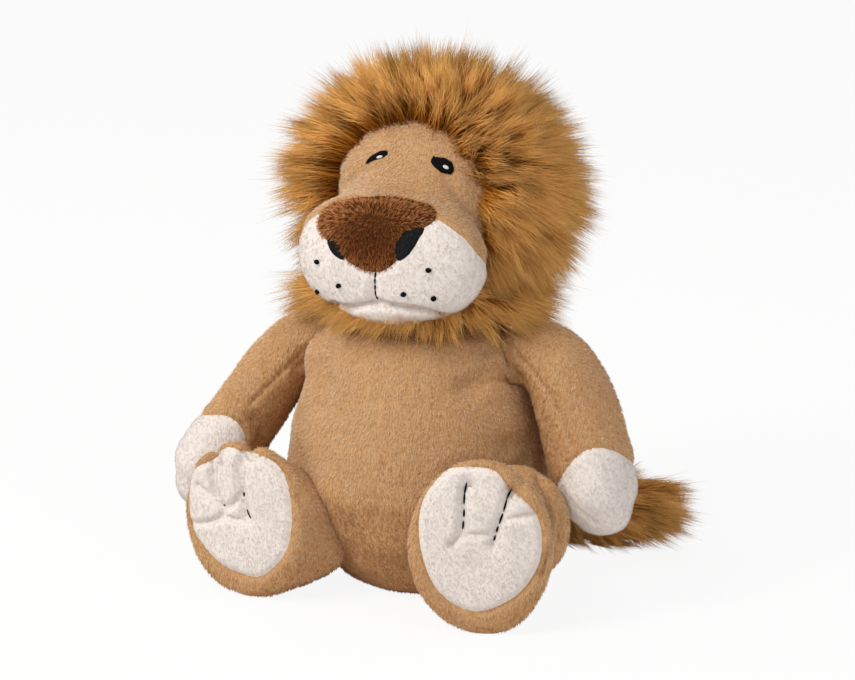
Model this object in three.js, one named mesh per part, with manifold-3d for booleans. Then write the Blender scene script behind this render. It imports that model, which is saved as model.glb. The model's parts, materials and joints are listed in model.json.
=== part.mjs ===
// A seated plush lion: stuffed fabric body, fur mane, sewn limbs and a tufted tail.
// Millimetres, +Z up, the lion looks along -Y and its left side is +X.
// The origin lies on the flat seat under the torso.
import * as THREE from 'three';
import { mergeVertices } from 'three/addons/utils/BufferGeometryUtils.js';
import Module from 'manifold-3d';

const wasm = await Module();
wasm.setup();

// Fabric and seams
const fabricThickness = 1.8;
const seamGap = 0.3;
const stuffingGap = 0.5;
const threadHeight = 0.9;
const cutOverrun = 40;
const seatCut = 0.5;

// Torso
const torsoHeight = 138;
const torsoHalfWidth = 66;
const torsoFrontDepth = 51;
const torsoBackDepth = 58;
const torsoSides = 20;
const torsoRings = 14;
const torsoCoreSides = 12;
const torsoCoreRings = 8;
const torsoCoreAllowance = 3.6;
const dimpleSides = 10;
const dimpleClearance = 1.15;
const openingSides = 12;

// Neck: the head turns on a wide, nearly flat dome on top of the torso
const neckSink = 2.5;
const neckHeight = torsoHeight - neckSink;
const neckBack = 12;
const neckDomeRadius = 260;
const neckDomeReach = 108;
const neckDomeBands = 3;
const neckDomeSides = 16;
const neckOpeningRadius = 20;

// Pellet pouch in the seat
const pouchHalfWidth = 34;
const pouchHalfDepth = 28;
const pouchHeight = 26;

// Head: a ball, a blunt muzzle and a throat, blended into one form
const headBack = 20;
const headRise = 54.5;
const headHeight = neckHeight + headRise;
const headHalfWidth = 46.5;
const headHalfDepth = 38;
const headHalfHeight = 42;
const muzzleForward = 27;
const muzzleDrop = 22;
const muzzleHeight = headHeight - muzzleDrop;
const muzzleHalfWidth = 46.5;
const muzzleHalfDepth = 21;
const muzzleHalfHeight = 31.5;
const muzzleRoundness = 2.3;
const throatRise = 16.5;
const throatHeight = neckHeight + throatRise;
const throatHalfWidth = 34;
const throatHalfDepth = 31;
const throatHalfHeight = 20;
const headBlend = 14;
const headSides = 22;
const headBands = 13;

// Face panels, as seen from the front
const faceSeamBack = 12;
const noseHalfWidth = 30;
const noseTopRise = 31;
const noseTopHeight = muzzleHeight + noseTopRise;
const noseTopForward = 29;
const noseTipDrop = 2;
const noseTipHeight = muzzleHeight - noseTipDrop;
const muzzleSeamRise = 22;
const muzzleSeamHeight = muzzleHeight + muzzleSeamRise;
const muzzleSeamDepth = 7;
const muzzleSeamSlopeShare = 0.7;
const mouthDrop = 17;
const mouthHeight = muzzleHeight - mouthDrop;
const mouthHalfWidth = 21;
const chinSag = 5;
const eyeSpacing = 17.2;
const eyeRise = 22;
const eyeHeight = headHeight + eyeRise;
const eyeTiltAngle = 20;
const eyeSides = 16;
const dotSides = 8;
const eyeHalfWidth = 6.2;
const eyeHalfHeight = 3.6;
const glintRadius = 1.3;
const whiskerRadius = 1.5;
const whiskerOuterSpacing = 29;
const whiskerInnerSpacing = 16.7;
const whiskerRise = 1;
const whiskerTopHeight = muzzleHeight + whiskerRise;
const whiskerDrop = 11;
const whiskerDropShares = [0, 1, 1.35];
const stitchWidth = 1.1;

// Mane: the volume that the long pile fills
const maneBack = 10;
const maneRise = 1;
const maneHeight = headHeight + maneRise;
const maneRadius = 78;
const maneHalfHeight = 71;
const maneFront = 21;
const maneRear = 80;
const maneSeamBack = 24;
const maneSides = 22;

// Ears
const earReach = 80;
const earHalfWidth = 15;
const earThickness = 2.4;
const earTiltAngle = 34;

// Arms
const shoulderOut = 50;
const shoulderBack = 4;
const shoulderDrop = 22;
const shoulderHeight = torsoHeight - shoulderDrop;
const shoulderBallRadius = 14;
const armRadius = 17;
const pawRadius = 20.5;
const pawCapLength = 42;
const armSides = 12;
const armRings = 12;
const armCoreSides = 8;
const armCoreRings = 12;

// Legs
const hipOut = 42;
const hipForward = 22;
const hipHeight = 28;
const hipBallRadius = 19;
const footHalfWidth = 34;
const soleHalfWidth = 28;
const soleMargin = 5.5;
const soleRise = 4;
const footDepth = 34;
const toeStitchLength = 26;
const toeStitchOutShare = 0.32;
const toeStitchUpShare = 0.45;
const toeStitchLeanAngle = 8.6;
const soleSides = 20;
const legSides = 14;
const legRings = 11;
const legCoreSides = 8;
const legCoreRings = 11;
const leftFoot = { out: 58.5, forward: 57, splay: 17, halfHeight: 43 };
const rightFoot = { out: 67, forward: 57, splay: 5, halfHeight: 39.5 };

// Tail
const tailRootBack = 56;
const tailRootHeight = 22;
const tailRadius = 7.5;
const tailBallRadius = 9;
const tuftOut = 78;
const tuftBack = 90;
const tuftLength = 62;
const tuftRadius = 21;
const tailSides = 10;
const tailRings = 14;
const tuftSides = 12;
const tuftRings = 10;

// Angles of the limbs at which they stay clear of the torso
const armAngles = [-6, 48];
const legAngles = [-4, 11];
const tailAngles = [-5, 80];

const tan = new THREE.MeshStandardMaterial({ color: 0xc8a073, roughness: 0.95, metalness: 0 });
const cream = new THREE.MeshStandardMaterial({ color: 0xeaded3, roughness: 0.95, metalness: 0 });
const brown = new THREE.MeshStandardMaterial({ color: 0x7a4a30, roughness: 0.9, metalness: 0 });
const fur = new THREE.MeshStandardMaterial({ color: 0xb9823c, roughness: 0.9, metalness: 0 });
const black = new THREE.MeshStandardMaterial({ color: 0x19191b, roughness: 0.7, metalness: 0 });
const white = new THREE.MeshStandardMaterial({ color: 0xf7f7f7, roughness: 0.6, metalness: 0 });
const fibre = new THREE.MeshStandardMaterial({ color: 0xf2f2ee, roughness: 1, metalness: 0 });
const pellets = new THREE.MeshStandardMaterial({ color: 0xdcdcd6, roughness: 0.6, metalness: 0 });

const group = new THREE.Group();
const vec = (x, y, z) => new THREE.Vector3(x, y, z);
const upward = vec(0, 0, 1);
const sideways = vec(1, 0, 0);

// Closed meshes and solids

function solidOf(geometry) {
  const bare = geometry.index ? geometry.clone() : geometry;
  for (const name of ['normal', 'uv']) bare.deleteAttribute(name);
  const merged = mergeVertices(bare, 1e-4);
  return new wasm.Manifold(new wasm.Mesh({
    numProp: 3,
    vertProperties: new Float32Array(merged.attributes.position.array),
    triVerts: new Uint32Array(merged.index.array),
  }));
}

function geometryOf(solid) {
  const mesh = solid.getMesh();
  const geometry = new THREE.BufferGeometry();
  geometry.setAttribute('position', new THREE.BufferAttribute(new Float32Array(mesh.vertProperties), 3));
  geometry.setIndex(new THREE.BufferAttribute(new Uint32Array(mesh.triVerts), 1));
  return geometry;
}

function addPart(name, solid, material) {
  const largest = solid.decompose().sort((a, b) => b.volume() - a.volume())[0];
  const mesh = new THREE.Mesh(geometryOf(largest), material);
  mesh.name = name;
  group.add(mesh);
  return mesh;
}

// Joins rings of points, each listed anticlockwise as seen from the end point, into one closed skin.
function ringSkin(rings, startPoint, endPoint) {
  const sides = rings[0].length;
  const points = [startPoint, ...rings.flat(), endPoint];
  const last = points.length - 1;
  const index = [];
  for (let j = 0; j < sides; j += 1) {
    const next = (j + 1) % sides;
    index.push(0, 1 + next, 1 + j);
    const top = 1 + (rings.length - 1) * sides;
    index.push(last, top + j, top + next);
    for (let i = 0; i < rings.length - 1; i += 1) {
      const low = 1 + i * sides;
      const high = low + sides;
      index.push(low + j, low + next, high + next);
      index.push(low + j, high + next, high + j);
    }
  }
  const geometry = new THREE.BufferGeometry().setFromPoints(points);
  geometry.setIndex(index);
  return geometry;
}

// Moves every point of a closed skin along its own normal.
function grown(geometry, distance) {
  if (distance === 0) return geometry;
  const copy = geometry.clone();
  copy.computeVertexNormals();
  const place = copy.attributes.position;
  const normal = copy.attributes.normal;
  for (let i = 0; i < place.count; i += 1) {
    place.setXYZ(
      i,
      place.getX(i) + normal.getX(i) * distance,
      place.getY(i) + normal.getY(i) * distance,
      place.getZ(i) + normal.getZ(i) * distance,
    );
  }
  copy.deleteAttribute('normal');
  return copy;
}

// Reads a table of stations as one smooth curve, from its first row to its last.
function smoothRows(rows, count) {
  const tracks = rows[0].map((_, column) => rows.map((row) => row[column]));
  const lookUp = (track, at) => {
    const whole = Math.min(Math.floor(at), track.length - 2);
    const t = at - whole;
    const before = track[Math.max(whole - 1, 0)];
    const a = track[whole];
    const b = track[whole + 1];
    const after = track[Math.min(whole + 2, track.length - 1)];
    const tangentA = (b - before) / 2;
    const tangentB = (after - a) / 2;
    const s = t * t * (3 - 2 * t);
    const bend = t * (1 - t) * ((1 - t) * tangentA - t * tangentB);
    return THREE.MathUtils.lerp(a, b, s) + bend;
  };
  return Array.from({ length: count }, (_, i) => {
    const at = (i / (count - 1)) * (rows.length - 1);
    return tracks.map((track) => lookUp(track, at));
  });
}

// A stuffed form along a spine. Each station gives how far along it is, and the half sizes
// to the side, towards the front (or down) and towards the back (or up).
function stuffedForm(spine, stations, sides, count) {
  const rows = smoothRows(stations, count);
  const rings = rows.slice(1, -1).map(([along, side, front, back]) => {
    const { centre, across, over } = spine(along);
    return Array.from({ length: sides }, (_, j) => {
      const angle = (j / sides) * 2 * Math.PI;
      const depth = Math.sin(angle) < 0 ? front : back;
      return centre.clone()
        .addScaledVector(across, Math.cos(angle) * Math.max(side, 0))
        .addScaledVector(over, Math.sin(angle) * Math.max(depth, 0));
    });
  });
  return ringSkin(rings, spine(rows[0][0]).centre, spine(rows[count - 1][0]).centre);
}

// A spine through given points, run on straight past both of its ends.
function curvedSpine(points, over) {
  const curve = new THREE.CatmullRomCurve3(points, false, 'centripetal');
  const length = curve.getLength();
  return (along) => {
    const u = THREE.MathUtils.clamp(along / length, 0, 1);
    const tangent = curve.getTangentAt(u);
    const past = along - u * length;
    const centre = curve.getPointAt(u).addScaledVector(tangent, past);
    const across = over.clone().cross(tangent).normalize();
    const lifted = tangent.clone().cross(across).normalize();
    return { centre, across, over: lifted, length, tangent };
  };
}

function ball(centre, radius, detail) {
  const geometry = new THREE.SphereGeometry(radius, detail, Math.round(detail * 0.6));
  geometry.translate(centre.x, centre.y, centre.z);
  return solidOf(geometry);
}

function block(low, high) {
  const size = high.clone().sub(low);
  const geometry = new THREE.BoxGeometry(size.x, size.y, size.z);
  const middle = low.clone().add(high).multiplyScalar(0.5);
  geometry.translate(middle.x, middle.y, middle.z);
  return solidOf(geometry);
}

// A straight cutter: an outline in its own plane, pushed along the plane's normal or as given.
function prism(outline, origin, across, over, reach, push = across.clone().cross(over).normalize()) {
  const shape = new THREE.Shape(outline.map(([u, v]) => new THREE.Vector2(u, v)));
  const geometry = new THREE.ExtrudeGeometry(shape, { depth: 2 * reach, bevelEnabled: false });
  geometry.translate(0, 0, -reach);
  const frame = new THREE.Matrix4().makeBasis(across, over, push).setPosition(origin);
  geometry.applyMatrix4(frame);
  return solidOf(geometry);
}

// Moves the sides of an anticlockwise outline outward, and meets them again at its corners.
function outset(outline, distance) {
  const count = outline.length;
  const normalOf = (from, to) => new THREE.Vector2(to[1] - from[1], from[0] - to[0]).normalize();
  return outline.map((point, i) => {
    const before = normalOf(outline[(i + count - 1) % count], point);
    const after = normalOf(point, outline[(i + 1) % count]);
    const corner = before.clone().add(after).multiplyScalar(distance / (1 + before.dot(after)));
    return [point[0] + corner.x, point[1] + corner.y];
  });
}

function ellipse(halfWidth, halfHeight, sides, centre = [0, 0], turn = 0) {
  return Array.from({ length: sides }, (_, i) => {
    const angle = (i / sides) * 2 * Math.PI;
    const u = Math.cos(angle) * halfWidth;
    const v = Math.sin(angle) * halfHeight;
    return [
      centre[0] + u * Math.cos(turn) - v * Math.sin(turn),
      centre[1] + u * Math.sin(turn) + v * Math.cos(turn),
    ];
  });
}

function turned(solid, pivot, axis, degrees) {
  const matrix = new THREE.Matrix4().makeTranslation(pivot.x, pivot.y, pivot.z)
    .multiply(new THREE.Matrix4().makeRotationAxis(axis, THREE.MathUtils.degToRad(degrees)))
    .multiply(new THREE.Matrix4().makeTranslation(-pivot.x, -pivot.y, -pivot.z));
  return solid.transform(matrix.toArray());
}

const everywhere = 4 * torsoHeight;
const aboveFloor = block(vec(-everywhere, -everywhere, 0), vec(everywhere, everywhere, everywhere));
const padLift = seamGap + threadHeight;

// Neck

function neckDome(grow) {
  const radius = neckDomeRadius + grow;
  const rimAngle = Math.asin(neckDomeReach / neckDomeRadius);
  const arc = Array.from({ length: neckDomeBands + 1 }, (_, i) => {
    const angle = rimAngle * (1 - i / neckDomeBands);
    return new THREE.Vector2(Math.sin(angle) * radius, Math.cos(angle) * radius);
  });
  arc[neckDomeBands].x = 0;
  const geometry = new THREE.LatheGeometry([new THREE.Vector2(0, arc[0].y), ...arc], neckDomeSides);
  geometry.rotateX(Math.PI / 2);
  geometry.translate(0, neckBack, neckHeight - neckDomeRadius);
  return solidOf(geometry);
}

function overNeck(grow) {
  const low = neckHeight - muzzleHalfHeight / 2;
  const half = neckDomeReach / 2;
  return block(vec(-half, -half, low), vec(half, half, everywhere)).subtract(neckDome(grow));
}

const neckOpening = prism(
  ellipse(neckOpeningRadius, neckOpeningRadius, neckDomeSides),
  vec(0, neckBack, neckHeight),
  sideways,
  vec(0, 1, 0),
  neckOpeningRadius / 2,
);

// Torso: a pear that is widest low down, with a dimple for each limb and for the tail

const torsoShares = [
  [0.0, 0.0, 0.0, 0.0],
  [0.004, 0.36, 0.2, 0.54],
  [0.036, 0.56, 0.42, 0.76],
  [0.11, 0.72, 0.64, 0.88],
  [0.23, 0.88, 0.86, 0.97],
  [0.39, 1.0, 1.0, 1.0],
  [0.56, 0.95, 0.95, 0.94],
  [0.72, 0.845, 0.83, 0.84],
  [0.86, 0.755, 0.71, 0.75],
  [0.94, 0.67, 0.6, 0.65],
  [0.985, 0.42, 0.36, 0.4],
  [1.0, 0.0, 0.0, 0.0],
];

function verticalSpine(height) {
  return { centre: vec(0, 0, height), across: sideways, over: vec(0, 1, 0) };
}

const torsoStations = torsoShares.map(([height, side, front, back]) => [
  height * (torsoHeight + seatCut) - seatCut,
  side * torsoHalfWidth,
  front * torsoFrontDepth,
  back * torsoBackDepth,
]);
const torsoForm = stuffedForm(verticalSpine, torsoStations, torsoSides, torsoRings);
const torsoCore = stuffedForm(verticalSpine, torsoStations, torsoCoreSides, torsoCoreRings);

const shoulder = (side) => vec(side * shoulderOut, shoulderBack, shoulderHeight);
const hip = (side) => vec(side * hipOut, -hipForward, hipHeight);
const tailRoot = vec(0, tailRootBack, tailRootHeight);
const dimples = [
  [shoulder(1), shoulderBallRadius],
  [shoulder(-1), shoulderBallRadius],
  [hip(1), hipBallRadius],
  [hip(-1), hipBallRadius],
  [tailRoot, tailBallRadius],
];

// The torso with its surface moved out by a distance, or in by a negative one.
function torsoSolid(grow, form = torsoForm) {
  const cut = dimples.map(([centre, radius]) => ball(centre, radius + dimpleClearance - grow, dimpleSides));
  return wasm.Manifold.difference([solidOf(grown(form, grow)), overNeck(grow), ...cut]);
}

const pouchForm = (grow) => {
  const geometry = new THREE.SphereGeometry(1, dimpleSides, dimpleSides / 2);
  geometry.rotateX(Math.PI / 2);
  geometry.scale(pouchHalfWidth + grow, pouchHalfDepth + grow, pouchHeight / 2 + grow);
  geometry.translate(0, 0, fabricThickness + stuffingGap + pouchHeight / 2);
  return solidOf(geometry);
};

const above = (height) => block(vec(-everywhere, -everywhere, height), vec(everywhere, everywhere, everywhere));
const torsoInner = torsoSolid(-fabricThickness, torsoCore).intersect(above(fabricThickness));
const torsoStuffed = torsoSolid(-fabricThickness - stuffingGap, torsoCore)
  .intersect(above(fabricThickness + stuffingGap));
addPart('torso_skin', torsoSolid(0).intersect(aboveFloor).subtract(torsoInner).subtract(neckOpening), tan);
addPart('torso_filling', torsoStuffed.subtract(pouchForm(stuffingGap)), fibre);
addPart('pellet_pouch', pouchForm(0).intersect(torsoStuffed), pellets);

// Head form: for each direction from inside the head, the place where the blended surface lies

function roundness(point, centre, half, power) {
  const x = Math.abs(point.x - centre.x) / half.x;
  const y = Math.abs(point.y - centre.y) / half.y;
  const z = Math.abs(point.z - centre.z) / half.z;
  const size = (x ** power + y ** power + z ** power) ** (1 / power);
  return (size - 1) * Math.min(half.x, half.y, half.z);
}

function blended(a, b) {
  const mix = Math.max(headBlend - Math.abs(a - b), 0) / headBlend;
  return Math.min(a, b) - (mix * mix * headBlend) / 4;
}

const headCentre = vec(0, headBack, headHeight);
const headHalf = vec(headHalfWidth, headHalfDepth, headHalfHeight);
const muzzleCentre = vec(0, -muzzleForward, muzzleHeight);
const muzzleHalf = vec(muzzleHalfWidth, muzzleHalfDepth, muzzleHalfHeight);
const throatCentre = vec(0, neckBack, throatHeight);
const throatHalf = vec(throatHalfWidth, throatHalfDepth, throatHalfHeight);

function headField(point) {
  const skull = roundness(point, headCentre, headHalf, 2);
  const muzzle = roundness(point, muzzleCentre, muzzleHalf, muzzleRoundness);
  const throat = roundness(point, throatCentre, throatHalf, 2);
  return blended(blended(skull, muzzle), throat);
}

function headForm(sides, bands) {
  const middle = headCentre.clone().lerp(muzzleCentre, 0.5);
  const surface = (direction) => {
    let near = 0;
    let far = headHalfWidth * 3;
    while (far - near > seamGap / 1000) {
      const half = (near + far) / 2;
      if (headField(middle.clone().addScaledVector(direction, half)) < 0) near = half;
      else far = half;
    }
    return middle.clone().addScaledVector(direction, near);
  };
  const rings = Array.from({ length: bands - 1 }, (_, i) => {
    const rise = ((i + 1) / bands - 0.5) * Math.PI;
    return Array.from({ length: sides }, (__, j) => {
      const angle = ((j + 0.5) / sides) * 2 * Math.PI;
      const level = Math.cos(rise);
      return surface(vec(Math.cos(angle) * level, Math.sin(angle) * level, Math.sin(rise)));
    });
  });
  return ringSkin(rings, surface(vec(0, 0, -1)), surface(vec(0, 0, 1)));
}

const headSkin = headForm(headSides, headBands);
const headSolid = (grow) => solidOf(grown(headSkin, grow)).subtract(neckDome(seamGap - grow));
const facePad = headSolid(padLift).subtract(headSolid(seamGap));
const inFront = (back) => block(vec(-everywhere, -everywhere, 0), vec(everywhere, back, everywhere));
const behind = (back) => block(vec(-everywhere, back, 0), vec(everywhere, everywhere, everywhere));

const headOuter = headSolid(0);
const headInner = headSolid(-fabricThickness);
const faceShell = headOuter.subtract(headInner).intersect(inFront(faceSeamBack - seamGap / 2));

// A cutter seen from the front, from an outline of sideways and upward places.
const faceCut = (outline) => prism(outline, vec(0, -muzzleForward, 0), sideways, upward, cutOverrun * 2);

// The muzzle's seam drops as it runs back, so its cutter is pushed back and down.
const muzzleCut = (outline) => prism(
  outline,
  vec(0, -muzzleForward - muzzleSeamDepth, 0),
  sideways,
  upward,
  cutOverrun * 2,
  vec(0, -1, muzzleSeamSlopeShare),
);

const noseShares = [[0, 0], [0.27, 0.08], [0.4, 0.24], [0.8, 0.66], [1, 0.8], [1, 1.3], [0, 1.3]];
const nostrilShares = [[0.41, 0.27], [0.77, 0.65], [0.49, 0.61], [0.35, 0.43]];
const noseHeight = noseTopHeight - noseTipHeight;
const fromNose = ([side, up]) => [side * noseHalfWidth, noseTipHeight + up * noseHeight];
const mirrored = (outline) => outline.map(([side, up]) => [-side, up]).reverse();
const nosePoints = noseShares.map(fromNose);
const noseOutline = [...nosePoints, ...mirrored(nosePoints.slice(1, -1))];
const nostrilOutline = nostrilShares.map(fromNose);

const muzzleSeamShares = [[0.6, 1], [0.86, 0.72], [1, 0.4], [1.15, 0]];
const muzzleSeam = muzzleSeamShares.map(([side, up]) => [
  side * muzzleHalfWidth,
  muzzleHeight + up * (muzzleSeamHeight - muzzleHeight),
]);
const muzzleEdge = muzzleHalfWidth * 1.5;
const muzzleFloor = [[muzzleEdge, muzzleHeight], [muzzleEdge, neckHeight - cutOverrun]];
const muzzleRight = [...muzzleFloor.slice().reverse(), ...muzzleSeam.slice().reverse()];
const muzzleOutline = [...muzzleRight, ...mirrored(muzzleRight)];
const mouthShares = [[1, -1], [0.55, -0.45], [0, 0], [-0.55, -0.45], [-1, -1]];
const mouthLine = mouthShares.map(([side, sag]) => [side * mouthHalfWidth, mouthHeight + sag * chinSag]);
const chinOutline = [
  [-mouthHalfWidth, neckHeight - cutOverrun],
  [mouthHalfWidth, neckHeight - cutOverrun],
  ...mouthLine,
];

const halfGap = seamGap / 2;
const wide = (outline, cut = faceCut) => cut(outset(outline, halfGap));
const narrow = (outline, cut = faceCut) => cut(outset(outline, -halfGap));
const nostrilOutlines = [nostrilOutline, mirrored(nostrilOutline)];
const noseCut = (gap) => faceCut(outset(noseOutline, gap)).intersect(inFront(gap - noseTopForward));
addPart(
  'face_skin',
  wasm.Manifold.difference([faceShell, neckOpening, wide(muzzleOutline, muzzleCut), noseCut(halfGap)]),
  tan,
);
addPart(
  'muzzle_panel',
  faceShell.intersect(narrow(muzzleOutline, muzzleCut)).subtract(neckOpening).subtract(noseCut(halfGap))
    .subtract(wide(chinOutline)),
  cream,
);
addPart('chin_panel', faceShell.intersect(narrow(chinOutline)).subtract(neckOpening), cream);
const noseShell = faceShell.intersect(noseCut(-halfGap));
const nostrilHoles = nostrilOutlines.map((outline) => wide(outline));
addPart('nose_panel', wasm.Manifold.difference([noseShell, ...nostrilHoles]), brown);
addPart('nostril_left', faceShell.intersect(narrow(nostrilOutlines[0])), black);
addPart('nostril_right', faceShell.intersect(narrow(nostrilOutlines[1])), black);

// Embroidery stands on the skin as thin pads of thread
const onFace = (outline) => facePad.intersect(inFront(faceSeamBack)).intersect(faceCut(outline));
const sides = [['left', 1], ['right', -1]];
const eyeTilt = THREE.MathUtils.degToRad(eyeTiltAngle);
for (const [name, side] of sides) {
  const eyeAt = [side * eyeSpacing, eyeHeight];
  const glint = ellipse(glintRadius, glintRadius, dotSides, eyeAt);
  const eye = ellipse(eyeHalfWidth, eyeHalfHeight, eyeSides, eyeAt, -side * eyeTilt);
  addPart(`eye_${name}`, onFace(eye).subtract(faceCut(outset(glint, halfGap))), black);
  addPart(`eye_glint_${name}`, onFace(glint), white);
  const whiskerOuts = [whiskerOuterSpacing, whiskerInnerSpacing, whiskerOuterSpacing];
  whiskerOuts.forEach((out, i) => {
    const height = whiskerTopHeight - whiskerDrop * whiskerDropShares[i];
    const dot = ellipse(whiskerRadius, whiskerRadius, dotSides, [side * out, height]);
    addPart(`whisker_dot_${name}_${i + 1}`, onFace(dot).intersect(inFront(-muzzleForward)), black);
  });
}
const stitchOutline = [
  [-stitchWidth / 2, mouthHeight + stitchWidth],
  [stitchWidth / 2, mouthHeight + stitchWidth],
  [stitchWidth / 2, noseTipHeight - stitchWidth],
  [-stitchWidth / 2, noseTipHeight - stitchWidth],
];
addPart('mouth_stitch', onFace(stitchOutline).intersect(inFront(-muzzleForward)), black);

addPart('head_filling', headSolid(-fabricThickness - stuffingGap), fibre);

// Mane: a hood of long pile round the face and over the back of the head, seamed behind the ears

const maneFrontShares = [
  [0.2, 0], [0, 0.42], [-0.48, 0.49], [-0.82, 0.58], [-1, 0.7], [-0.8, 0.86], [-0.42, 0.96], [0, 1],
];
const maneRearShares = [[0.0, 1.0], [0.32, 0.975], [0.6, 0.85], [0.83, 0.61], [0.96, 0.3], [1.0, 0.0]];
const maneProfile = [
  ...maneFrontShares.map(([along, out]) => new THREE.Vector2(out * maneRadius, along * maneFront)),
  ...maneRearShares.slice(1).map(([along, out]) => new THREE.Vector2(out * maneRadius, along * maneRear)),
];
const maneGeometry = new THREE.LatheGeometry(maneProfile, maneSides);
maneGeometry.scale(1, 1, maneHalfHeight / maneRadius);
maneGeometry.translate(0, maneBack, maneHeight);
const headCavity = headSolid(seamGap).intersect(inFront(faceSeamBack + halfGap)).add(headInner);
const hood = wasm.Manifold.difference([solidOf(maneGeometry), headCavity, neckDome(seamGap), neckOpening]);

// Ears stand in the mane's seam, each a cover with a lining in front of it
const earHalfShares = [[0.24, 0.98], [0.66, 0.83], [0.94, 0.45], [1, 0]];
const earShares = [...mirrored(earHalfShares), ...earHalfShares];
const earTop = maneSeamBack - halfGap;
function earPlate(side, back, front, grow) {
  const rise = THREE.MathUtils.degToRad(earTiltAngle);
  const along = vec(side * Math.cos(rise), 0, Math.sin(rise));
  const across = vec(-side * Math.sin(rise), 0, Math.cos(rise)).multiplyScalar(side);
  const points = earShares.map(([u, v]) => [u * earHalfWidth, v * earReach]);
  const outline = outset(points.slice().reverse(), grow);
  const middle = (back + front) / 2;
  const reach = (back - front) / 2 + grow;
  const origin = vec(0, middle, maneHeight);
  return prism(outline, origin, across, along, reach);
}
const earBack = earTop;
const earMiddle = earBack - earThickness;
const earFront = earMiddle - seamGap - earThickness;
const earHollows = sides.map(([, side]) => (
  earPlate(side, earBack + seamGap, earFront, seamGap).subtract(headOuter)
));
const skull = headSolid(seamGap);
for (const [name, side] of sides) {
  addPart(`ear_cover_${name}`, earPlate(side, earBack, earMiddle, 0).subtract(skull), tan);
  addPart(`ear_lining_${name}`, earPlate(side, earMiddle - seamGap, earFront, 0).subtract(skull), tan);
}
const openHood = wasm.Manifold.difference([hood, ...earHollows]);
addPart('mane_ruff', openHood.intersect(inFront(maneSeamBack - halfGap)), fur);
addPart('mane_back', openHood.intersect(behind(maneSeamBack + halfGap)), fur);

// Limbs

const rootShares = [[-1, 0], [-0.92, 0.39], [-0.71, 0.71], [-0.38, 0.92]];
const rootStations = (radius) => rootShares.map(([along, out]) => [
  along * radius, out * radius, out * radius, out * radius,
]);

// Takes from a limb whatever the torso would touch at these angles of its joint.
function clearOfTorso(limb, grow, pivot, radius, axis, angles) {
  const torso = solidOf(grown(torsoCore, grow + torsoCoreAllowance))
    .subtract(ball(pivot, radius + dimpleClearance - grow, dimpleSides));
  return wasm.Manifold.difference([limb, ...angles.map((angle) => turned(torso, pivot, axis, -angle))]);
}

function limbOpening(root, radius) {
  return prism(ellipse(radius, radius, openingSides), root.centre, root.across, root.over, radius);
}

function farSide({ centre: point, tangent: direction, across, over: up }, gap) {
  const square = [[-1, -1], [1, -1], [1, 1], [-1, 1]].map(([u, v]) => [u * cutOverrun, v * cutOverrun]);
  const centre = point.clone().addScaledVector(direction, cutOverrun - gap);
  return prism(square, centre, across, up, cutOverrun);
}

// A limb's form and what it is made of: a sleeve open at its root, an end panel and its filling
function limbSolid(limb, grow) {
  const { form, pivot, radius, axis, angles } = limb;
  return clearOfTorso(solidOf(grown(form, grow)), seamGap - grow, pivot, radius, axis, angles)
    .intersect(aboveFloorBy(grow));
}

const aboveFloorBy = (grow) => block(
  vec(-everywhere, -everywhere, Math.max(-grow, 0)),
  vec(everywhere, everywhere, everywhere),
);

function addLimb(name, limb, panelName, panelCutter) {
  const core = { ...limb, form: limb.core };
  const shell = limbSolid(limb, 0).subtract(limbSolid(core, -fabricThickness)).subtract(limb.opening);
  addPart(name, shell.subtract(panelCutter(halfGap)), tan);
  addPart(panelName, shell.intersect(panelCutter(-halfGap)), cream);
  addPart(name.replace('sleeve', 'filling'), limbSolid(core, -fabricThickness - stuffingGap), fibre);
}

// Arms: they leave the shoulders sideways, then hang in a bend that clears the torso

const armShares = [
  [0.1, 0.93],
  [0.28, 1.0],
  [0.5, 1.02],
  [0.66, 1.08],
  [0.8, 1.2],
  [0.9, 1.14],
  [0.965, 0.86],
  [0.992, 0.46],
  [1, 0],
];
const armSpots = {
  left: [[0, 0, 0], [12, 1, -1], [22, 1, -7], [31, -1, -21], [38, -3, -37], [44, -6, -53], [47, -8, -70]],
  right: [
    [0, 0, 0], [12, 0, -3], [21, -2, -12], [31, -6, -28], [40, -10, -44], [49, -15, -57], [56, -18, -68],
  ],
};
for (const [name, side] of sides) {
  const pivot = shoulder(side);
  const points = armSpots[name].map(([out, back, up]) => pivot.clone().add(vec(side * out, back, up)));
  const spine = curvedSpine(points, vec(0, -1, 0));
  const { length } = spine(0);
  const reach = length + pawRadius / 2;
  const stations = [
    ...rootStations(shoulderBallRadius),
    [0, ...Array(3).fill(shoulderBallRadius)],
    ...armShares.map(([along, out]) => [along * reach, ...Array(3).fill(out * armRadius)]),
  ];
  const capAt = spine(reach - pawCapLength);
  const cap = (gap) => farSide(capAt, gap);
  const root = spine(-shoulderBallRadius);
  addLimb(`arm_sleeve_${name}`, {
    pivot,
    radius: shoulderBallRadius,
    axis: vec(0, -side, 0),
    angles: armAngles,
    form: stuffedForm(spine, stations, armSides, armRings),
    core: stuffedForm(spine, stations, armCoreSides, armCoreRings),
    opening: limbOpening(root, shoulderBallRadius / 2),
  }, `paw_cap_${name}`, cap);
}

// Legs: short, and flared to a broad upright foot

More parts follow.
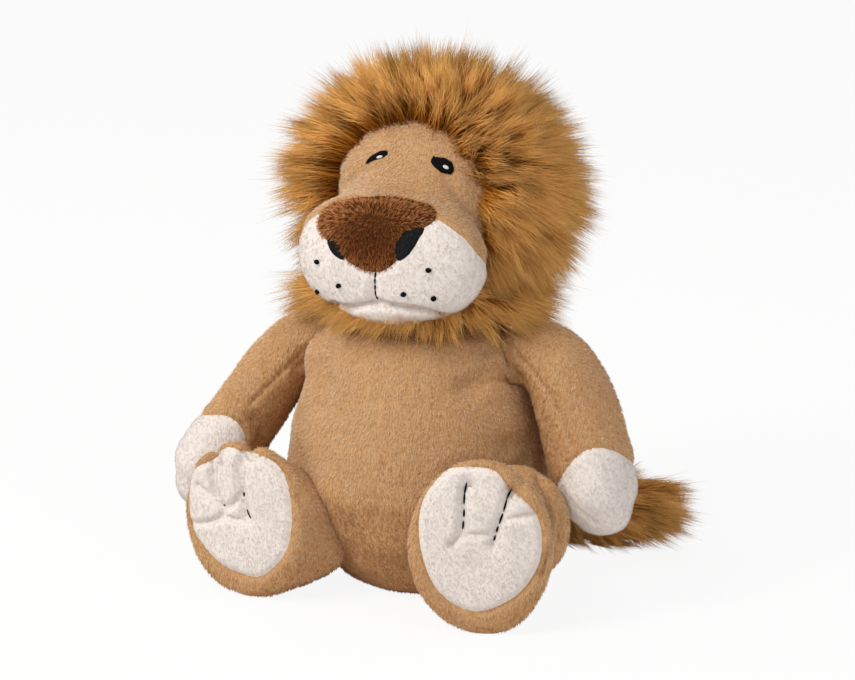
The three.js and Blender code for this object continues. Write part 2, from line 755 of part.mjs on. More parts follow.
const legShares = [
  [0.12, 0.67, 0.54], [0.3, 0.81, 0.66], [0.48, 0.91, 0.79], [0.66, 0.98, 0.91], [0.82, 1.0, 1.0],
  [0.93, 0.96, 0.98], [0.985, 0.81, 0.86], [1.0, 0.45, 0.49], [1.0, 0, 0],
];
for (const [name, side] of sides) {
  const foot = side > 0 ? leftFoot : rightFoot;
  const pivot = hip(side);
  const splay = THREE.MathUtils.degToRad(foot.splay);
  const facing = vec(side * Math.sin(splay), -Math.cos(splay), 0);
  const sole = vec(side * foot.out, -foot.forward, foot.halfHeight - seatCut);
  const soleHalfHeight = foot.halfHeight - soleMargin;
  const across = upward.clone().cross(facing).normalize();
  const length = sole.clone().sub(pivot).dot(facing);
  const shift = sole.clone().sub(pivot).addScaledVector(facing, -length);
  const spine = (along) => {
    const part = THREE.MathUtils.smoothstep(along, 0, length);
    const centre = pivot.clone().addScaledVector(facing, along).addScaledVector(shift, part);
    return { centre, across, over: upward };
  };
  const stations = [
    ...rootStations(hipBallRadius),
    [0, ...Array(3).fill(hipBallRadius)],
    ...legShares.map(([along, across_, tall]) => [
      along * length, across_ * footHalfWidth, ...Array(2).fill(tall * foot.halfHeight),
    ]),
  ];
  const soleCentre = sole.clone().addScaledVector(upward, soleRise);
  const soleCut = (gap) => prism(
    ellipse(soleHalfWidth + gap, soleHalfHeight + gap, soleSides),
    soleCentre,
    across,
    upward,
    footDepth / 3,
  );
  const root = spine(-hipBallRadius);
  const limb = {
    pivot,
    radius: hipBallRadius,
    axis: across,
    angles: legAngles,
    form: stuffedForm(spine, stations, legSides, legRings),
    core: stuffedForm(spine, stations, legCoreSides, legCoreRings),
    opening: limbOpening(root, hipBallRadius / 2),
  };
  addLimb(`leg_sleeve_${name}`, limb, `sole_${name}`, soleCut);
  const pad = solidOf(grown(limb.form, padLift)).subtract(solidOf(grown(limb.form, seamGap)));
  [-1, 1].forEach((step, i) => {
    const middle = [step * soleHalfWidth * toeStitchOutShare, soleHalfHeight * toeStitchUpShare];
    const lean = THREE.MathUtils.degToRad(toeStitchLeanAngle);
    const strip = ellipse(stitchWidth, toeStitchLength / 2, dotSides, middle, step * lean);
    addPart(
      `toe_stitch_${name}_${i + 1}`,
      pad.intersect(prism(strip, soleCentre, across, upward, footDepth / 4)),
      black,
    );
  });
}

// Tail: a slim tube that lies round the left side and ends in a tuft of long pile

const tailOutShares = [0.2, 0.48, 0.7, 1];
const tailBackShares = [0.38, 0.85, 1, 1];
const tailHeights = [tailRootHeight * 0.7, tailRadius * 1.5, tuftRadius * 0.7, tuftRadius - seatCut];
const tailPoints = tailHeights.map((height, i) => vec(
  tailOutShares[i] * tuftOut,
  THREE.MathUtils.lerp(tailRootBack, tuftBack, tailBackShares[i]),
  height,
));
const tailSpine = curvedSpine([tailRoot, ...tailPoints], upward);
const tailLength = tailSpine(0).length;
const tailShares = [[0.2, 0.85], [0.4, 0.8], [0.8, 0.8], [0.97, 0.75], [1.02, 0.4], [1.03, 0]];
const tailStations = [
  ...rootStations(tailBallRadius),
  [0, ...Array(3).fill(tailBallRadius)],
  ...tailShares.map(([along, out]) => [along * tailLength, ...Array(3).fill(out * tailBallRadius)]),
];
const tailForm = stuffedForm(tailSpine, tailStations, tailSides, tailRings);
const tuftShares = [
  [-0.5, 0], [-0.48, 0.42], [-0.36, 0.78], [-0.12, 1], [0.14, 0.98], [0.34, 0.74], [0.46, 0.4], [0.5, 0],
];
const tuftForm = stuffedForm(
  tailSpine,
  tuftShares.map(([along, out]) => [tailLength + along * tuftLength, ...Array(3).fill(out * tuftRadius)]),
  tuftSides,
  tuftRings,
);
const tailSolid = clearOfTorso(solidOf(tailForm), seamGap, tailRoot, tailBallRadius, upward, tailAngles);
addPart('tail_cover', tailSolid.intersect(aboveFloor), tan);
const tuftSolid = solidOf(tuftForm).subtract(solidOf(grown(tailForm, seamGap)));
addPart('tail_tuft', tuftSolid.intersect(aboveFloor), fur);

export default group;
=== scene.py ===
import json
import math

import bpy
import numpy as np
from mathutils import Matrix, Vector, noise
from mathutils.bvhtree import BVHTree
from mathutils.kdtree import KDTree

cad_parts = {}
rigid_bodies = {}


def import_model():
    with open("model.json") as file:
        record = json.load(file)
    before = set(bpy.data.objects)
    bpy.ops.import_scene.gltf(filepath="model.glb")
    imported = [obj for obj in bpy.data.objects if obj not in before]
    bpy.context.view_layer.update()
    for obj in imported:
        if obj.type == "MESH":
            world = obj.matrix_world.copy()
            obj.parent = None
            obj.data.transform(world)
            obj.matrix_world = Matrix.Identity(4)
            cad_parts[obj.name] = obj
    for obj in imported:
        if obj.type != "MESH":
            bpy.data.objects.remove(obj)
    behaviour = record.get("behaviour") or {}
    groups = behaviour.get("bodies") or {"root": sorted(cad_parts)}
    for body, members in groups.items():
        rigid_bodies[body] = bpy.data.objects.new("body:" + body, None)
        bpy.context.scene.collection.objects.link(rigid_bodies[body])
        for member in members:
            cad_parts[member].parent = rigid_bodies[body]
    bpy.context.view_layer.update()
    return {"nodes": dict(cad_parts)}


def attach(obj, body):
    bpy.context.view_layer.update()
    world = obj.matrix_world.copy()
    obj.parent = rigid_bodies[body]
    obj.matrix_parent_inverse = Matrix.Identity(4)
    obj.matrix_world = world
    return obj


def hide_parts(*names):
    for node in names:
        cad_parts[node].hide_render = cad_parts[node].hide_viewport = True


mm = 0.001
# Without a seed, the noise that combs pile and mane would start from the clock
noiseSeed = 1
noise.seed_set(noiseSeed)
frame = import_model()
bpy.context.scene.view_settings.view_transform = "Standard"
print("frame loaded")

# Where the photograph was taken from, in degrees and metres, with the scale of its pixels
shot = {
    "azimuth": 24,
    "elevation": 16,
    "distance": 1500 * mm,
    "lookAt": Vector((0, 0, 130)) * mm,
    "pixel": 0.478 * mm,
    "lookAtPixel": (415.5, 323.6),
    "imageSize": (855, 680),
    "sensor": 36,
}


def addCamera():
    azimuth = math.radians(shot["azimuth"])
    elevation = math.radians(shot["elevation"])
    forward = Vector((
        -math.sin(azimuth) * math.cos(elevation),
        math.cos(azimuth) * math.cos(elevation),
        -math.sin(elevation),
    ))
    right = Vector((math.cos(azimuth), math.sin(azimuth), 0))
    up = right.cross(forward)
    width, height = shot["imageSize"]
    across = (width / 2 - shot["lookAtPixel"][0]) * shot["pixel"]
    down = (height / 2 - shot["lookAtPixel"][1]) * shot["pixel"]
    aim = shot["lookAt"] + right * across - up * down
    data = bpy.data.cameras.new("photoCamera")
    data.sensor_width = shot["sensor"]
    data.lens = shot["sensor"] * shot["distance"] / (width * shot["pixel"])
    data.clip_end = 20
    camera = bpy.data.objects.new("photoCamera", data)
    camera.location = aim - forward * shot["distance"]
    camera.rotation_euler = forward.to_track_quat("-Z", "Y").to_euler()
    bpy.context.collection.objects.link(camera)
    bpy.context.scene.camera = camera


lights = {
    "world": 0.5,
    "key": {"place": (-0.9, -1.3, 1.55), "size": 0.85, "power": 33, "colour": (1.0, 0.965, 0.915)},
    "fill": {"place": (1.6, -0.7, 0.9), "size": 1.2, "power": 6, "colour": (1.0, 0.98, 0.95)},
    "top": {"place": (0.1, 0.3, 1.7), "size": 1.4, "power": 1.5, "colour": (1.0, 1.0, 1.0)},
}


def addLights():
    for name in ("key", "fill", "top"):
        values = lights[name]
        data = bpy.data.lights.new(name + "Light", "AREA")
        data.energy = values["power"]
        data.size = values["size"]
        data.color = values["colour"]
        lamp = bpy.data.objects.new(name + "Light", data)
        lamp.location = values["place"]
        aim = shot["lookAt"] - lamp.location
        lamp.rotation_euler = aim.to_track_quat("-Z", "Y").to_euler()
        bpy.context.collection.objects.link(lamp)
    world = bpy.data.worlds.new("studio")
    world.use_nodes = True
    bpy.context.scene.world = world
    nodes = world.node_tree.nodes
    links = world.node_tree.links
    output = nodes["World Output"]
    soft = nodes["Background"]
    soft.inputs["Color"].default_value = (1, 1, 1, 1)
    soft.inputs["Strength"].default_value = lights["world"]
    seen = nodes.new("ShaderNodeBackground")
    seen.inputs["Strength"].default_value = 1
    seen.inputs["Color"].default_value = (1, 1, 1, 1)
    path = nodes.new("ShaderNodeLightPath")
    mix = nodes.new("ShaderNodeMixShader")
    links.new(path.outputs["Is Camera Ray"], mix.inputs["Fac"])
    links.new(soft.outputs["Background"], mix.inputs[1])
    links.new(seen.outputs["Background"], mix.inputs[2])
    links.new(mix.outputs["Shader"], output.inputs["Surface"])


floorSettings = {"size": 9, "colour": (0.86, 0.86, 0.86, 1), "roughness": 0.9, "whitening": 0.9}


def addFloor():
    bpy.ops.mesh.primitive_plane_add(size=floorSettings["size"])
    floor = bpy.context.object
    floor.name = "studioFloor"
    material = bpy.data.materials.new("paleFloor")
    material.use_nodes = True
    nodes = material.node_tree.nodes
    links = material.node_tree.links
    base = nodes["Principled BSDF"]
    base.inputs["Base Color"].default_value = floorSettings["colour"]
    base.inputs["Roughness"].default_value = floorSettings["roughness"]
    glow = nodes.new("ShaderNodeEmission")
    glow.inputs["Strength"].default_value = 1
    path = nodes.new("ShaderNodeLightPath")
    share = nodes.new("ShaderNodeMath")
    share.operation = "MULTIPLY"
    share.inputs[1].default_value = floorSettings["whitening"]
    mix = nodes.new("ShaderNodeMixShader")
    links.new(path.outputs["Is Camera Ray"], share.inputs[0])
    links.new(share.outputs["Value"], mix.inputs["Fac"])
    links.new(base.outputs["BSDF"], mix.inputs[1])
    links.new(glow.outputs["Emission"], mix.inputs[2])
    links.new(mix.outputs["Shader"], nodes["Material Output"].inputs["Surface"])
    floor.data.materials.append(material)


# Tools for modelling

def activate(piece):
    bpy.ops.object.select_all(action="DESELECT")
    piece.select_set(True)
    bpy.context.view_layer.objects.active = piece


def applyModifier(piece, kind, **settings):
    activate(piece)
    modifier = piece.modifiers.new(kind.title(), kind)
    for key, value in settings.items():
        setattr(modifier, key, value)
    bpy.ops.object.modifier_apply(modifier=modifier.name)


def facedOutward(piece):
    activate(piece)
    bpy.ops.object.mode_set(mode="EDIT")
    bpy.ops.mesh.select_all(action="SELECT")
    bpy.ops.mesh.normals_make_consistent(inside=False)
    bpy.ops.object.mode_set(mode="OBJECT")


def joined(name, parts):
    bpy.ops.object.select_all(action="DESELECT")
    for part in parts:
        part.select_set(True)
    bpy.context.view_layer.objects.active = parts[0]
    if len(parts) > 1:
        bpy.ops.object.join()
    piece = bpy.context.object
    piece.name = name
    piece.data.name = name
    return piece


def ellipsoid(centre, radii, turn=(0, 0, 0)):
    bpy.ops.mesh.primitive_uv_sphere_add(segments=48, ring_count=24, radius=1)
    part = bpy.context.object
    part.scale = Vector(radii) * mm
    part.rotation_euler = [math.radians(angle) for angle in turn]
    part.location = Vector(centre) * mm
    bpy.ops.object.transform_apply()
    return part


# Extrudes a disc from section to section: each is a centre and two half sizes
def loft(name, sections, sides=40):
    centre, wide, deep = sections[0]
    place = Vector(centre) * mm
    bpy.ops.mesh.primitive_circle_add(vertices=sides, radius=1, fill_type="NGON")
    piece = bpy.context.object
    piece.name = name
    piece.scale = (wide * mm, deep * mm, 1)
    piece.location = place
    bpy.ops.object.transform_apply()
    bpy.ops.object.mode_set(mode="EDIT")
    bpy.ops.mesh.select_all(action="SELECT")
    for nextCentre, nextWide, nextDeep in sections[1:]:
        nextPlace = Vector(nextCentre) * mm
        bpy.ops.mesh.extrude_region_move(TRANSFORM_OT_translate={"value": nextPlace - place})
        bpy.ops.transform.resize(value=(nextWide / wide, nextDeep / deep, 1), center_override=nextPlace)
        place, wide, deep = nextPlace, nextWide, nextDeep
    bpy.ops.object.mode_set(mode="OBJECT")
    facedOutward(piece)
    return piece


# A tube of changing radius along a smooth path
def tube(name, points, radii):
    data = bpy.data.curves.new(name, "CURVE")
    data.dimensions = "3D"
    data.bevel_depth = 1
    data.bevel_resolution = 8
    data.use_fill_caps = True
    spline = data.splines.new("NURBS")
    spline.points.add(len(points) - 1)
    for knot, point, radius in zip(spline.points, points, radii):
        knot.co = (*(Vector(point) * mm), 1)
        knot.radius = radius * mm
    spline.order_u = 3
    spline.use_endpoint_u = True
    spline.resolution_u = 12
    piece = bpy.data.objects.new(name, data)
    bpy.context.collection.objects.link(piece)
    activate(piece)
    bpy.ops.object.convert(target="MESH")
    return bpy.context.object


# Fuses the parts into one stuffed form of even, smooth skin
def stuffed(name, parts, voxel, smoothing):
    piece = joined(name, parts)
    applyModifier(piece, "REMESH", mode="VOXEL", voxel_size=voxel * mm)
    applyModifier(piece, "SMOOTH", factor=0.5, iterations=smoothing)
    return piece


# Uneven stuffing: soft hollows and swellings of a given size and height
def lumps(piece, size, height):
    texture = bpy.data.textures.new(piece.name + "Lumps", "CLOUDS")
    texture.noise_scale = size * mm
    texture.noise_depth = 1
    applyModifier(
        piece, "DISPLACE", texture=texture, strength=height * mm, mid_level=0.5, texture_coords="LOCAL",
    )


def unit(vectors, least=0):
    return vectors / np.maximum(np.linalg.norm(vectors, axis=1, keepdims=True), least)


def vertexPlaces(piece):
    places = np.empty(len(piece.data.vertices) * 3)
    piece.data.vertices.foreach_get("co", places)
    return places.reshape(-1, 3)


def vertexNormals(piece):
    normals = np.empty(len(piece.data.vertices) * 3)
    piece.data.vertex_normals.foreach_get("vector", normals)
    return normals.reshape(-1, 3)


def setPlaces(piece, places):
    piece.data.vertices.foreach_set("co", places.ravel())
    piece.data.update()


# The toy rests on the ground: nothing of it goes below
def settled(piece):
    places = vertexPlaces(piece)
    places[:, 2] = np.maximum(places[:, 2], 0)
    setPlaces(piece, places)


def resampled(points, step, closed=False):
    track = [Vector(point) for point in points]
    if closed:
        track.append(track[0])
    spots = []
    for start, end in zip(track, track[1:]):
        count = max(1, round((end - start).length / step))
        spots += [start.lerp(end, i / count) for i in range(count)]
    if not closed:
        spots.append(track[-1])
    return spots


# Rounds the corners of a chain of points
def smoothChain(points, closed=False, rounds=3):
    track = [Vector(point) for point in points]
    for _ in range(rounds):
        pairs = list(zip(track, track[1:] + track[:1])) if closed else list(zip(track, track[1:]))
        cut = []
        for start, end in pairs:
            cut += [start.lerp(end, 0.25), start.lerp(end, 0.75)]
        track = cut if closed else [track[0], *cut[1:-1], track[-1]]
    return track


def pointTree(spots):
    tree = KDTree(len(spots))
    for i, spot in enumerate(spots):
        tree.insert(spot, i)
    tree.balance()
    return tree


# Draws the skin in along a line, as a seam or a pulled stitch does
def groove(piece, line, width, depth, pull=None):
    tree = pointTree(line)
    places = vertexPlaces(piece)
    normals = vertexNormals(piece)
    spots = np.array(line)
    low = spots.min(axis=0) - 3 * width * mm
    high = spots.max(axis=0) + 3 * width * mm
    near = np.nonzero(((places > low) & (places < high)).all(axis=1))[0]
    for i in near:
        _, _, distance = tree.find(places[i])
        share = math.exp(-((distance / (width * mm)) ** 2))
        inward = -normals[i] if pull is None else np.array(pull)
        places[i] += inward * depth * mm * share
    setPlaces(piece, places)


def treeOf(piece):
    return BVHTree.FromPolygons(
        [vertex.co for vertex in piece.data.vertices], [face.vertices[:] for face in piece.data.polygons],
    )


def ontoSkin(skin, spots):
    tree = treeOf(skin)
    return [tree.find_nearest(spot)[0] for spot in spots]


# Where the camera sees the given pixels of the photograph on a skin
def seenOn(skin, pixels):
    camera = bpy.context.scene.camera
    axes = camera.matrix_world.to_3x3()
    right, up = axes.col[0], axes.col[1]
    tree = treeOf(skin)
    spots = []
    for across, down in pixels:
        place = shot["lookAt"] + right * (across - shot["lookAtPixel"][0]) * shot["pixel"]
        place -= up * (down - shot["lookAtPixel"][1]) * shot["pixel"]
        hit = tree.ray_cast(camera.location, (place - camera.location).normalized())[0]
        if hit:
            spots.append(hit)
    return spots


# A smooth line on a skin through the given pixels
def lineOn(skin, pixels):
    return ontoSkin(skin, resampled(smoothChain(seenOn(skin, pixels)), 1 * mm))


# Soft folds, each given by its pixels, its width and its depth
def folded(skin, folds):
    for pixels, width, depth in folds:
        groove(skin, lineOn(skin, pixels), width, depth)


# Pile is shorter beside a seam
def trimmed(roots, line, near=2.4, least=0.7):
    tree = pointTree(line)
    gaps = np.array([tree.find(root)[2] for root in roots]) / (near * mm)
    return np.clip(gaps, least, 1)


# The filling under a skin: its form moved in, in coarser faces
def stuffing(skin, depth, body, *nodes):
    inner = skin.copy()
    inner.data = skin.data.copy()
    inner.name = inner.data.name = skin.name + "Stuffing"
    bpy.context.collection.objects.link(inner)
    places = vertexPlaces(inner) - vertexNormals(inner) * depth * mm
    setPlaces(inner, places)
    applyModifier(inner, "REMESH", mode="VOXEL", voxel_size=3.2 * mm)
    dressed(inner, body, "fibre_filling", fillingFibre, *nodes)


def dressed(piece, body, slot, material, *nodes):
    piece.data.materials.clear()
    piece.data.materials.append(material)
    if not piece.data.has_custom_normals:
        activate(piece)
        bpy.ops.object.shade_smooth()
    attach(piece, body)
    if nodes:
        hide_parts(*nodes)


# Materials

def newMaterial(name):
    material = bpy.data.materials.new(name)
    material.use_nodes = True
    nodes = material.node_tree.nodes
    return material, nodes, material.node_tree.links, nodes["Principled BSDF"]


# The colours that a value runs through
def ramped(nodes, links, value, stops):
    ramp = nodes.new("ShaderNodeValToRGB")
    elements = ramp.color_ramp.elements
    while len(elements) > 1:
        elements.remove(elements[-1])
    elements[0].position = stops[0][0]
    elements[0].color = (*stops[0][1], 1)
    for place, colour in stops[1:]:
        elements.new(place).color = (*colour, 1)
    links.new(value, ramp.inputs["Fac"])
    return ramp.outputs["Color"]


# A texture laid out in the piece's own space
def ownTexture(nodes, links, kind, scale, stretch=(1, 1, 1), turn=0):
    coords = nodes.new("ShaderNodeTexCoord")
    mapping = nodes.new("ShaderNodeMapping")
    mapping.inputs["Scale"].default_value = stretch
    mapping.inputs["Rotation"].default_value = (0, math.radians(turn), 0)
    texture = nodes.new("ShaderNodeTex" + kind)
    texture.inputs["Scale"].default_value = scale
    links.new(coords.outputs["Object"], mapping.inputs["Vector"])
    links.new(mapping.outputs["Vector"], texture.inputs["Vector"])
    return texture


def multiplied(nodes, links, first, second):
    mix = nodes.new("ShaderNodeMix")
    mix.data_type = "RGBA"
    mix.blend_type = "MULTIPLY"
    mix.inputs["Factor"].default_value = 1
    links.new(first, mix.inputs["A"])
    links.new(second, mix.inputs["B"])
    return mix.outputs["Result"]


def finish(shader, roughness, specular, sheen=0, sheenRoughness=0.4, tint=(1, 1, 1)):
    shader.inputs["Roughness"].default_value = roughness
    shader.inputs["Specular IOR Level"].default_value = specular
    shader.inputs["Sheen Weight"].default_value = sheen
    shader.inputs["Sheen Roughness"].default_value = sheenRoughness
    shader.inputs["Sheen Tint"].default_value = (*tint, 1)


def addRelief(nodes, links, shader, height, strength, distance):
    relief = nodes.new("ShaderNodeBump")
    relief.inputs["Strength"].default_value = strength
    relief.inputs["Distance"].default_value = distance * mm
    links.new(height, relief.inputs["Height"])
    links.new(relief.outputs["Normal"], shader.inputs["Normal"])


# The cloth under the pile: clumps of pile as noise, and broad patches where the nap lies over
def plushMaterial(name, dark, light, patch=0.12, clump=900, stretch=(1, 1, 0.6)):
    material, nodes, links, shader = newMaterial(name)
    fine = ownTexture(nodes, links, "Noise", clump, stretch)
    fine.inputs["Detail"].default_value = 3
    tone = ramped(nodes, links, fine.outputs["Fac"], [(0.3, dark), (0.7, light)])
    broad = ownTexture(nodes, links, "Noise", 42)
    nap = (1 - patch, 1 - patch * 1.1, 1 - patch * 1.25)
    shade = ramped(nodes, links, broad.outputs["Fac"], [(0.3, nap), (0.7, (1, 1, 1))])
    links.new(multiplied(nodes, links, tone, shade), shader.inputs["Base Color"])
    addRelief(nodes, links, shader, fine.outputs["Fac"], 0.6, 0.8)
    finish(shader, 0.9, 0.1, 0.2 if max(light) > 0.1 else 0, 0.5, light)
    return material


# Fibres: colour runs from root to tip along u, and each fibre has its own tone by v
def fibreMaterial(name, stops, tones, roughness=0.7, sheen=0.2, specular=0.25):
    material, nodes, links, shader = newMaterial(name)
    fibreMap = nodes.new("ShaderNodeUVMap")
    fibreMap.uv_map = "OFBake"
    split = nodes.new("ShaderNodeSeparateXYZ")
    links.new(fibreMap.outputs["UV"], split.inputs["Vector"])
    along = ramped(nodes, links, split.outputs["X"], stops)
    own = ramped(nodes, links, split.outputs["Y"], tones)
    links.new(multiplied(nodes, links, along, own), shader.inputs["Base Color"])
    finish(shader, roughness, specular, sheen, 0.4, stops[-1][1])
    return material


# Thread laid in close rows over an embroidered patch
def threadMaterial(name, colour, gap, roughness):
    material, nodes, links, shader = newMaterial(name)
    rows = ownTexture(nodes, links, "Wave", math.pi / (gap * mm) / 10, turn=62)
    rows.inputs["Distortion"].default_value = 1.5
    groovesAndRidges = [(0, tuple(c * 0.6 for c in colour)), (1, colour)]
    tone = ramped(nodes, links, rows.outputs["Fac"], groovesAndRidges)
    links.new(tone, shader.inputs["Base Color"])
    addRelief(nodes, links, shader, rows.outputs["Fac"], 0.5, 0.2)
    finish(shader, roughness, 0.07)
    return material


tanDark = (0.42, 0.22, 0.09)
tanLight = (0.60, 0.36, 0.18)
creamDark = (0.79, 0.715, 0.67)
creamLight = (0.81, 0.74, 0.695)
noseDark = (0.05, 0.014, 0.003)
noseLight = (0.10, 0.032, 0.008)
tanCloth = plushMaterial("tanCloth", tanDark, tanLight)
creamCloth = plushMaterial("creamCloth", creamDark, creamLight, 0.06)
noseCloth = plushMaterial("noseCloth", noseDark, noseLight, 0.2, 700, (0.45, 1, 1.6))
# The cloth under the mane is painted dark brown, as painted shade in the gaps between the locks
maneCloth = plushMaterial("maneCloth", (0.16, 0.055, 0.008), (0.28, 0.1, 0.015), 0.3)
blackThread = threadMaterial("blackThread", (0.005, 0.005, 0.006), 0.5, 0.75)
whiteThread = threadMaterial("whiteThread", (0.85, 0.86, 0.88), 0.5, 0.5)
blackFelt = plushMaterial("blackFelt", (0.005, 0.005, 0.006), (0.014, 0.014, 0.016), 0.1)
fillingFibre = plushMaterial("fillingFibre", (0.7, 0.7, 0.67), (0.88, 0.88, 0.85), 0.1, 200)
pelletCloth = plushMaterial("pelletCloth", (0.55, 0.55, 0.52), (0.7, 0.7, 0.66), 0.05, 900)
tanPile = fibreMaterial(
    "tanPile",
    [(0.0, (0.55, 0.33, 0.18)), (0.5, (0.73, 0.53, 0.36)), (1.0, (0.75, 0.60, 0.455))],
    [
        (0.0, (0.60, 0.36, 0.20)),
        (0.2, (0.79, 0.53, 0.32)),
        (0.4, (0.95, 0.71, 0.48)),
        (0.62, (1.0, 0.86, 0.71)),
        (0.9, (1.02, 0.96, 0.89)),
    ],
)
creamPile = fibreMaterial(
    "creamPile",
    [(0.0, (0.695, 0.62, 0.58)), (0.5, (0.715, 0.65, 0.61)), (1.0, (0.735, 0.685, 0.655))],
    [(0.0, (0.93, 0.92, 0.91)), (0.6, (1.0, 1.0, 1.0)), (1.0, (1.0, 1.0, 1.0))],
)
nosePile = fibreMaterial(
    "nosePile",
    [(0.0, (0.20, 0.066, 0.014)), (0.5, (0.43, 0.16, 0.048)), (1.0, (0.80, 0.42, 0.21))],
    [(0.0, (0.27, 0.18, 0.09)), (0.5, (0.62, 0.52, 0.42)), (1.0, (1.0, 1.0, 1.0))],
    sheen=0,
    specular=0.08,
)
maneFibre = fibreMaterial(
    "maneFibre",
    [
        (0.0, (0.42, 0.148, 0.014)),
        (0.3, (0.60, 0.242, 0.026)),
        (0.65, (0.72, 0.335, 0.054)),
        (1.0, (0.87, 0.52, 0.19)),
    ],
    [(0.0, (0.4, 0.31, 0.2)), (0.5, (0.95, 0.87, 0.75)), (1.0, (1.2, 1.16, 1.06))],
    roughness=0.65,
    sheen=0,
    specular=0.12,
)
print("materials made")


# Fibres as closed three-sided strands. lines holds each fibre's points from root to tip,
# radii its half width at each of them but the last.
def strandMesh(name, lines, radii, tones):
    count, knots, _ = lines.shape
    rings = knots - 1
    course = unit(lines[:, -1] - lines[:, 0])
    random = np.random.default_rng(len(name) + count)
    across = unit(np.cross(course, random.normal(size=(count, 3))))
    over = np.cross(course, across)
    verts = np.empty((count, rings * 3 + 1, 3))
    for ring in range(rings):
        for side in range(3):
            angle = side * 2 * math.pi / 3
            arm = across * math.cos(angle) + over * math.sin(angle)
            verts[:, ring * 3 + side] = lines[:, ring] + arm * radii[:, ring, None]
    verts[:, -1] = lines[:, -1]
    faces = [(0, 2, 1)]
    for ring in range(rings - 1):
        for side in range(3):
            a = ring * 3 + side
            b = ring * 3 + (side + 1) % 3
            faces += [(a, b, b + 3), (a, b + 3, a + 3)]
    top = (rings - 1) * 3
    faces += [(top + side, top + (side + 1) % 3, rings * 3) for side in range(3)]
    faces = np.array(faces)
    allFaces = faces[None] + (np.arange(count) * (rings * 3 + 1))[:, None, None]
    mesh = bpy.data.meshes.new(name)
    mesh.from_pydata(verts.reshape(-1, 3), [], allFaces.reshape(-1, 3))
    along = np.repeat(np.linspace(0.03, 0.9, rings), 3) + np.tile([0, 0.012, 0.024], rings)
    along = np.append(along, 0.98)
    sideways = np.append(np.tile([0, 0.004, 0.008], rings), 0.004)
    uv = np.empty((count, len(along), 2))
    uv[:, :, 0] = along
    uv[:, :, 1] = tones[:, None] * 0.98 + sideways
    layer = mesh.uv_layers.new(name="OFBake")
    layer.data.foreach_set("uv", uv[:, faces].reshape(-1))
    piece = bpy.data.objects.new(name, mesh)
    bpy.context.collection.objects.link(piece)
    return piece


# Lets short fibres take the light mostly as the skin under them does
def leanNormals(piece, upright, share=0.75):
    count = len(piece.data.vertices) // len(upright)
    normals = vertexNormals(piece) * (1 - share) + np.repeat(upright, count, axis=0) * share
    piece.data.shade_smooth()
    piece.data.normals_split_custom_set_from_vertices(unit(normals).tolist())


# Random places on a skin, spread by area, with the normals there
def scattered(skin, seed):
    mesh = skin.data
    mesh.calc_loop_triangles()
    corners = np.empty(len(mesh.loop_triangles) * 3, dtype=int)
    mesh.loop_triangles.foreach_get("vertices", corners)
    corners = corners.reshape(-1, 3)
    places = vertexPlaces(skin)
    normals = vertexNormals(skin)
    a, b, c = (places[corners[:, i]] for i in range(3))
    area = np.linalg.norm(np.cross(b - a, c - a), axis=1) / 2
    random = np.random.default_rng(seed)
    count = int(area.sum() / mm ** 2 * pileSettings["density"])
    chosen = random.choice(len(area), size=count, p=area / area.sum())
    u, v = random.random((2, count))
    flip = u + v > 1
    u[flip], v[flip] = 1 - u[flip], 1 - v[flip]
    weights = np.stack([1 - u - v, u, v], axis=1)[:, :, None]
    roots = (places[corners[chosen]] * weights).sum(axis=1)
    upright = (normals[corners[chosen]] * weights).sum(axis=1)
    return roots, unit(upright), random


pileSettings = {
    "length": 1.8,
    "width": 0.42,
    "rise": 0.6,
    "stray": 0.22,
    "sweep": 11,
    "clump": 1.5,
    "sink": 0.25,
    "density": 1.2,
    "torso": {"swirl": 0.45, "tuft": 0.6, "normals": 0.5, "contrast": 0.65, "level": 0.67, "length": 1},
    "face": {"swirl": 0.45, "tuft": 0.5, "normals": 0.7, "contrast": 0.5, "level": 0.82, "length": 1},
    "arm": {"swirl": 0.45, "tuft": 0.6, "normals": 0.5, "contrast": 0.65, "level": 0.52, "length": 1},
    "leg": {"swirl": 0.45, "tuft": 0.6, "normals": 0.5, "contrast": 0.65, "level": 0.64, "length": 1},
    "cream": {"swirl": 0.15, "tuft": 0.06, "normals": 0.95, "contrast": 0.12, "level": 0.8, "length": 0.6},
    "nose": {"swirl": 0.1, "tuft": 0.2, "normals": 0.3, "contrast": 0.3, "level": 0.5, "length": 1},
}
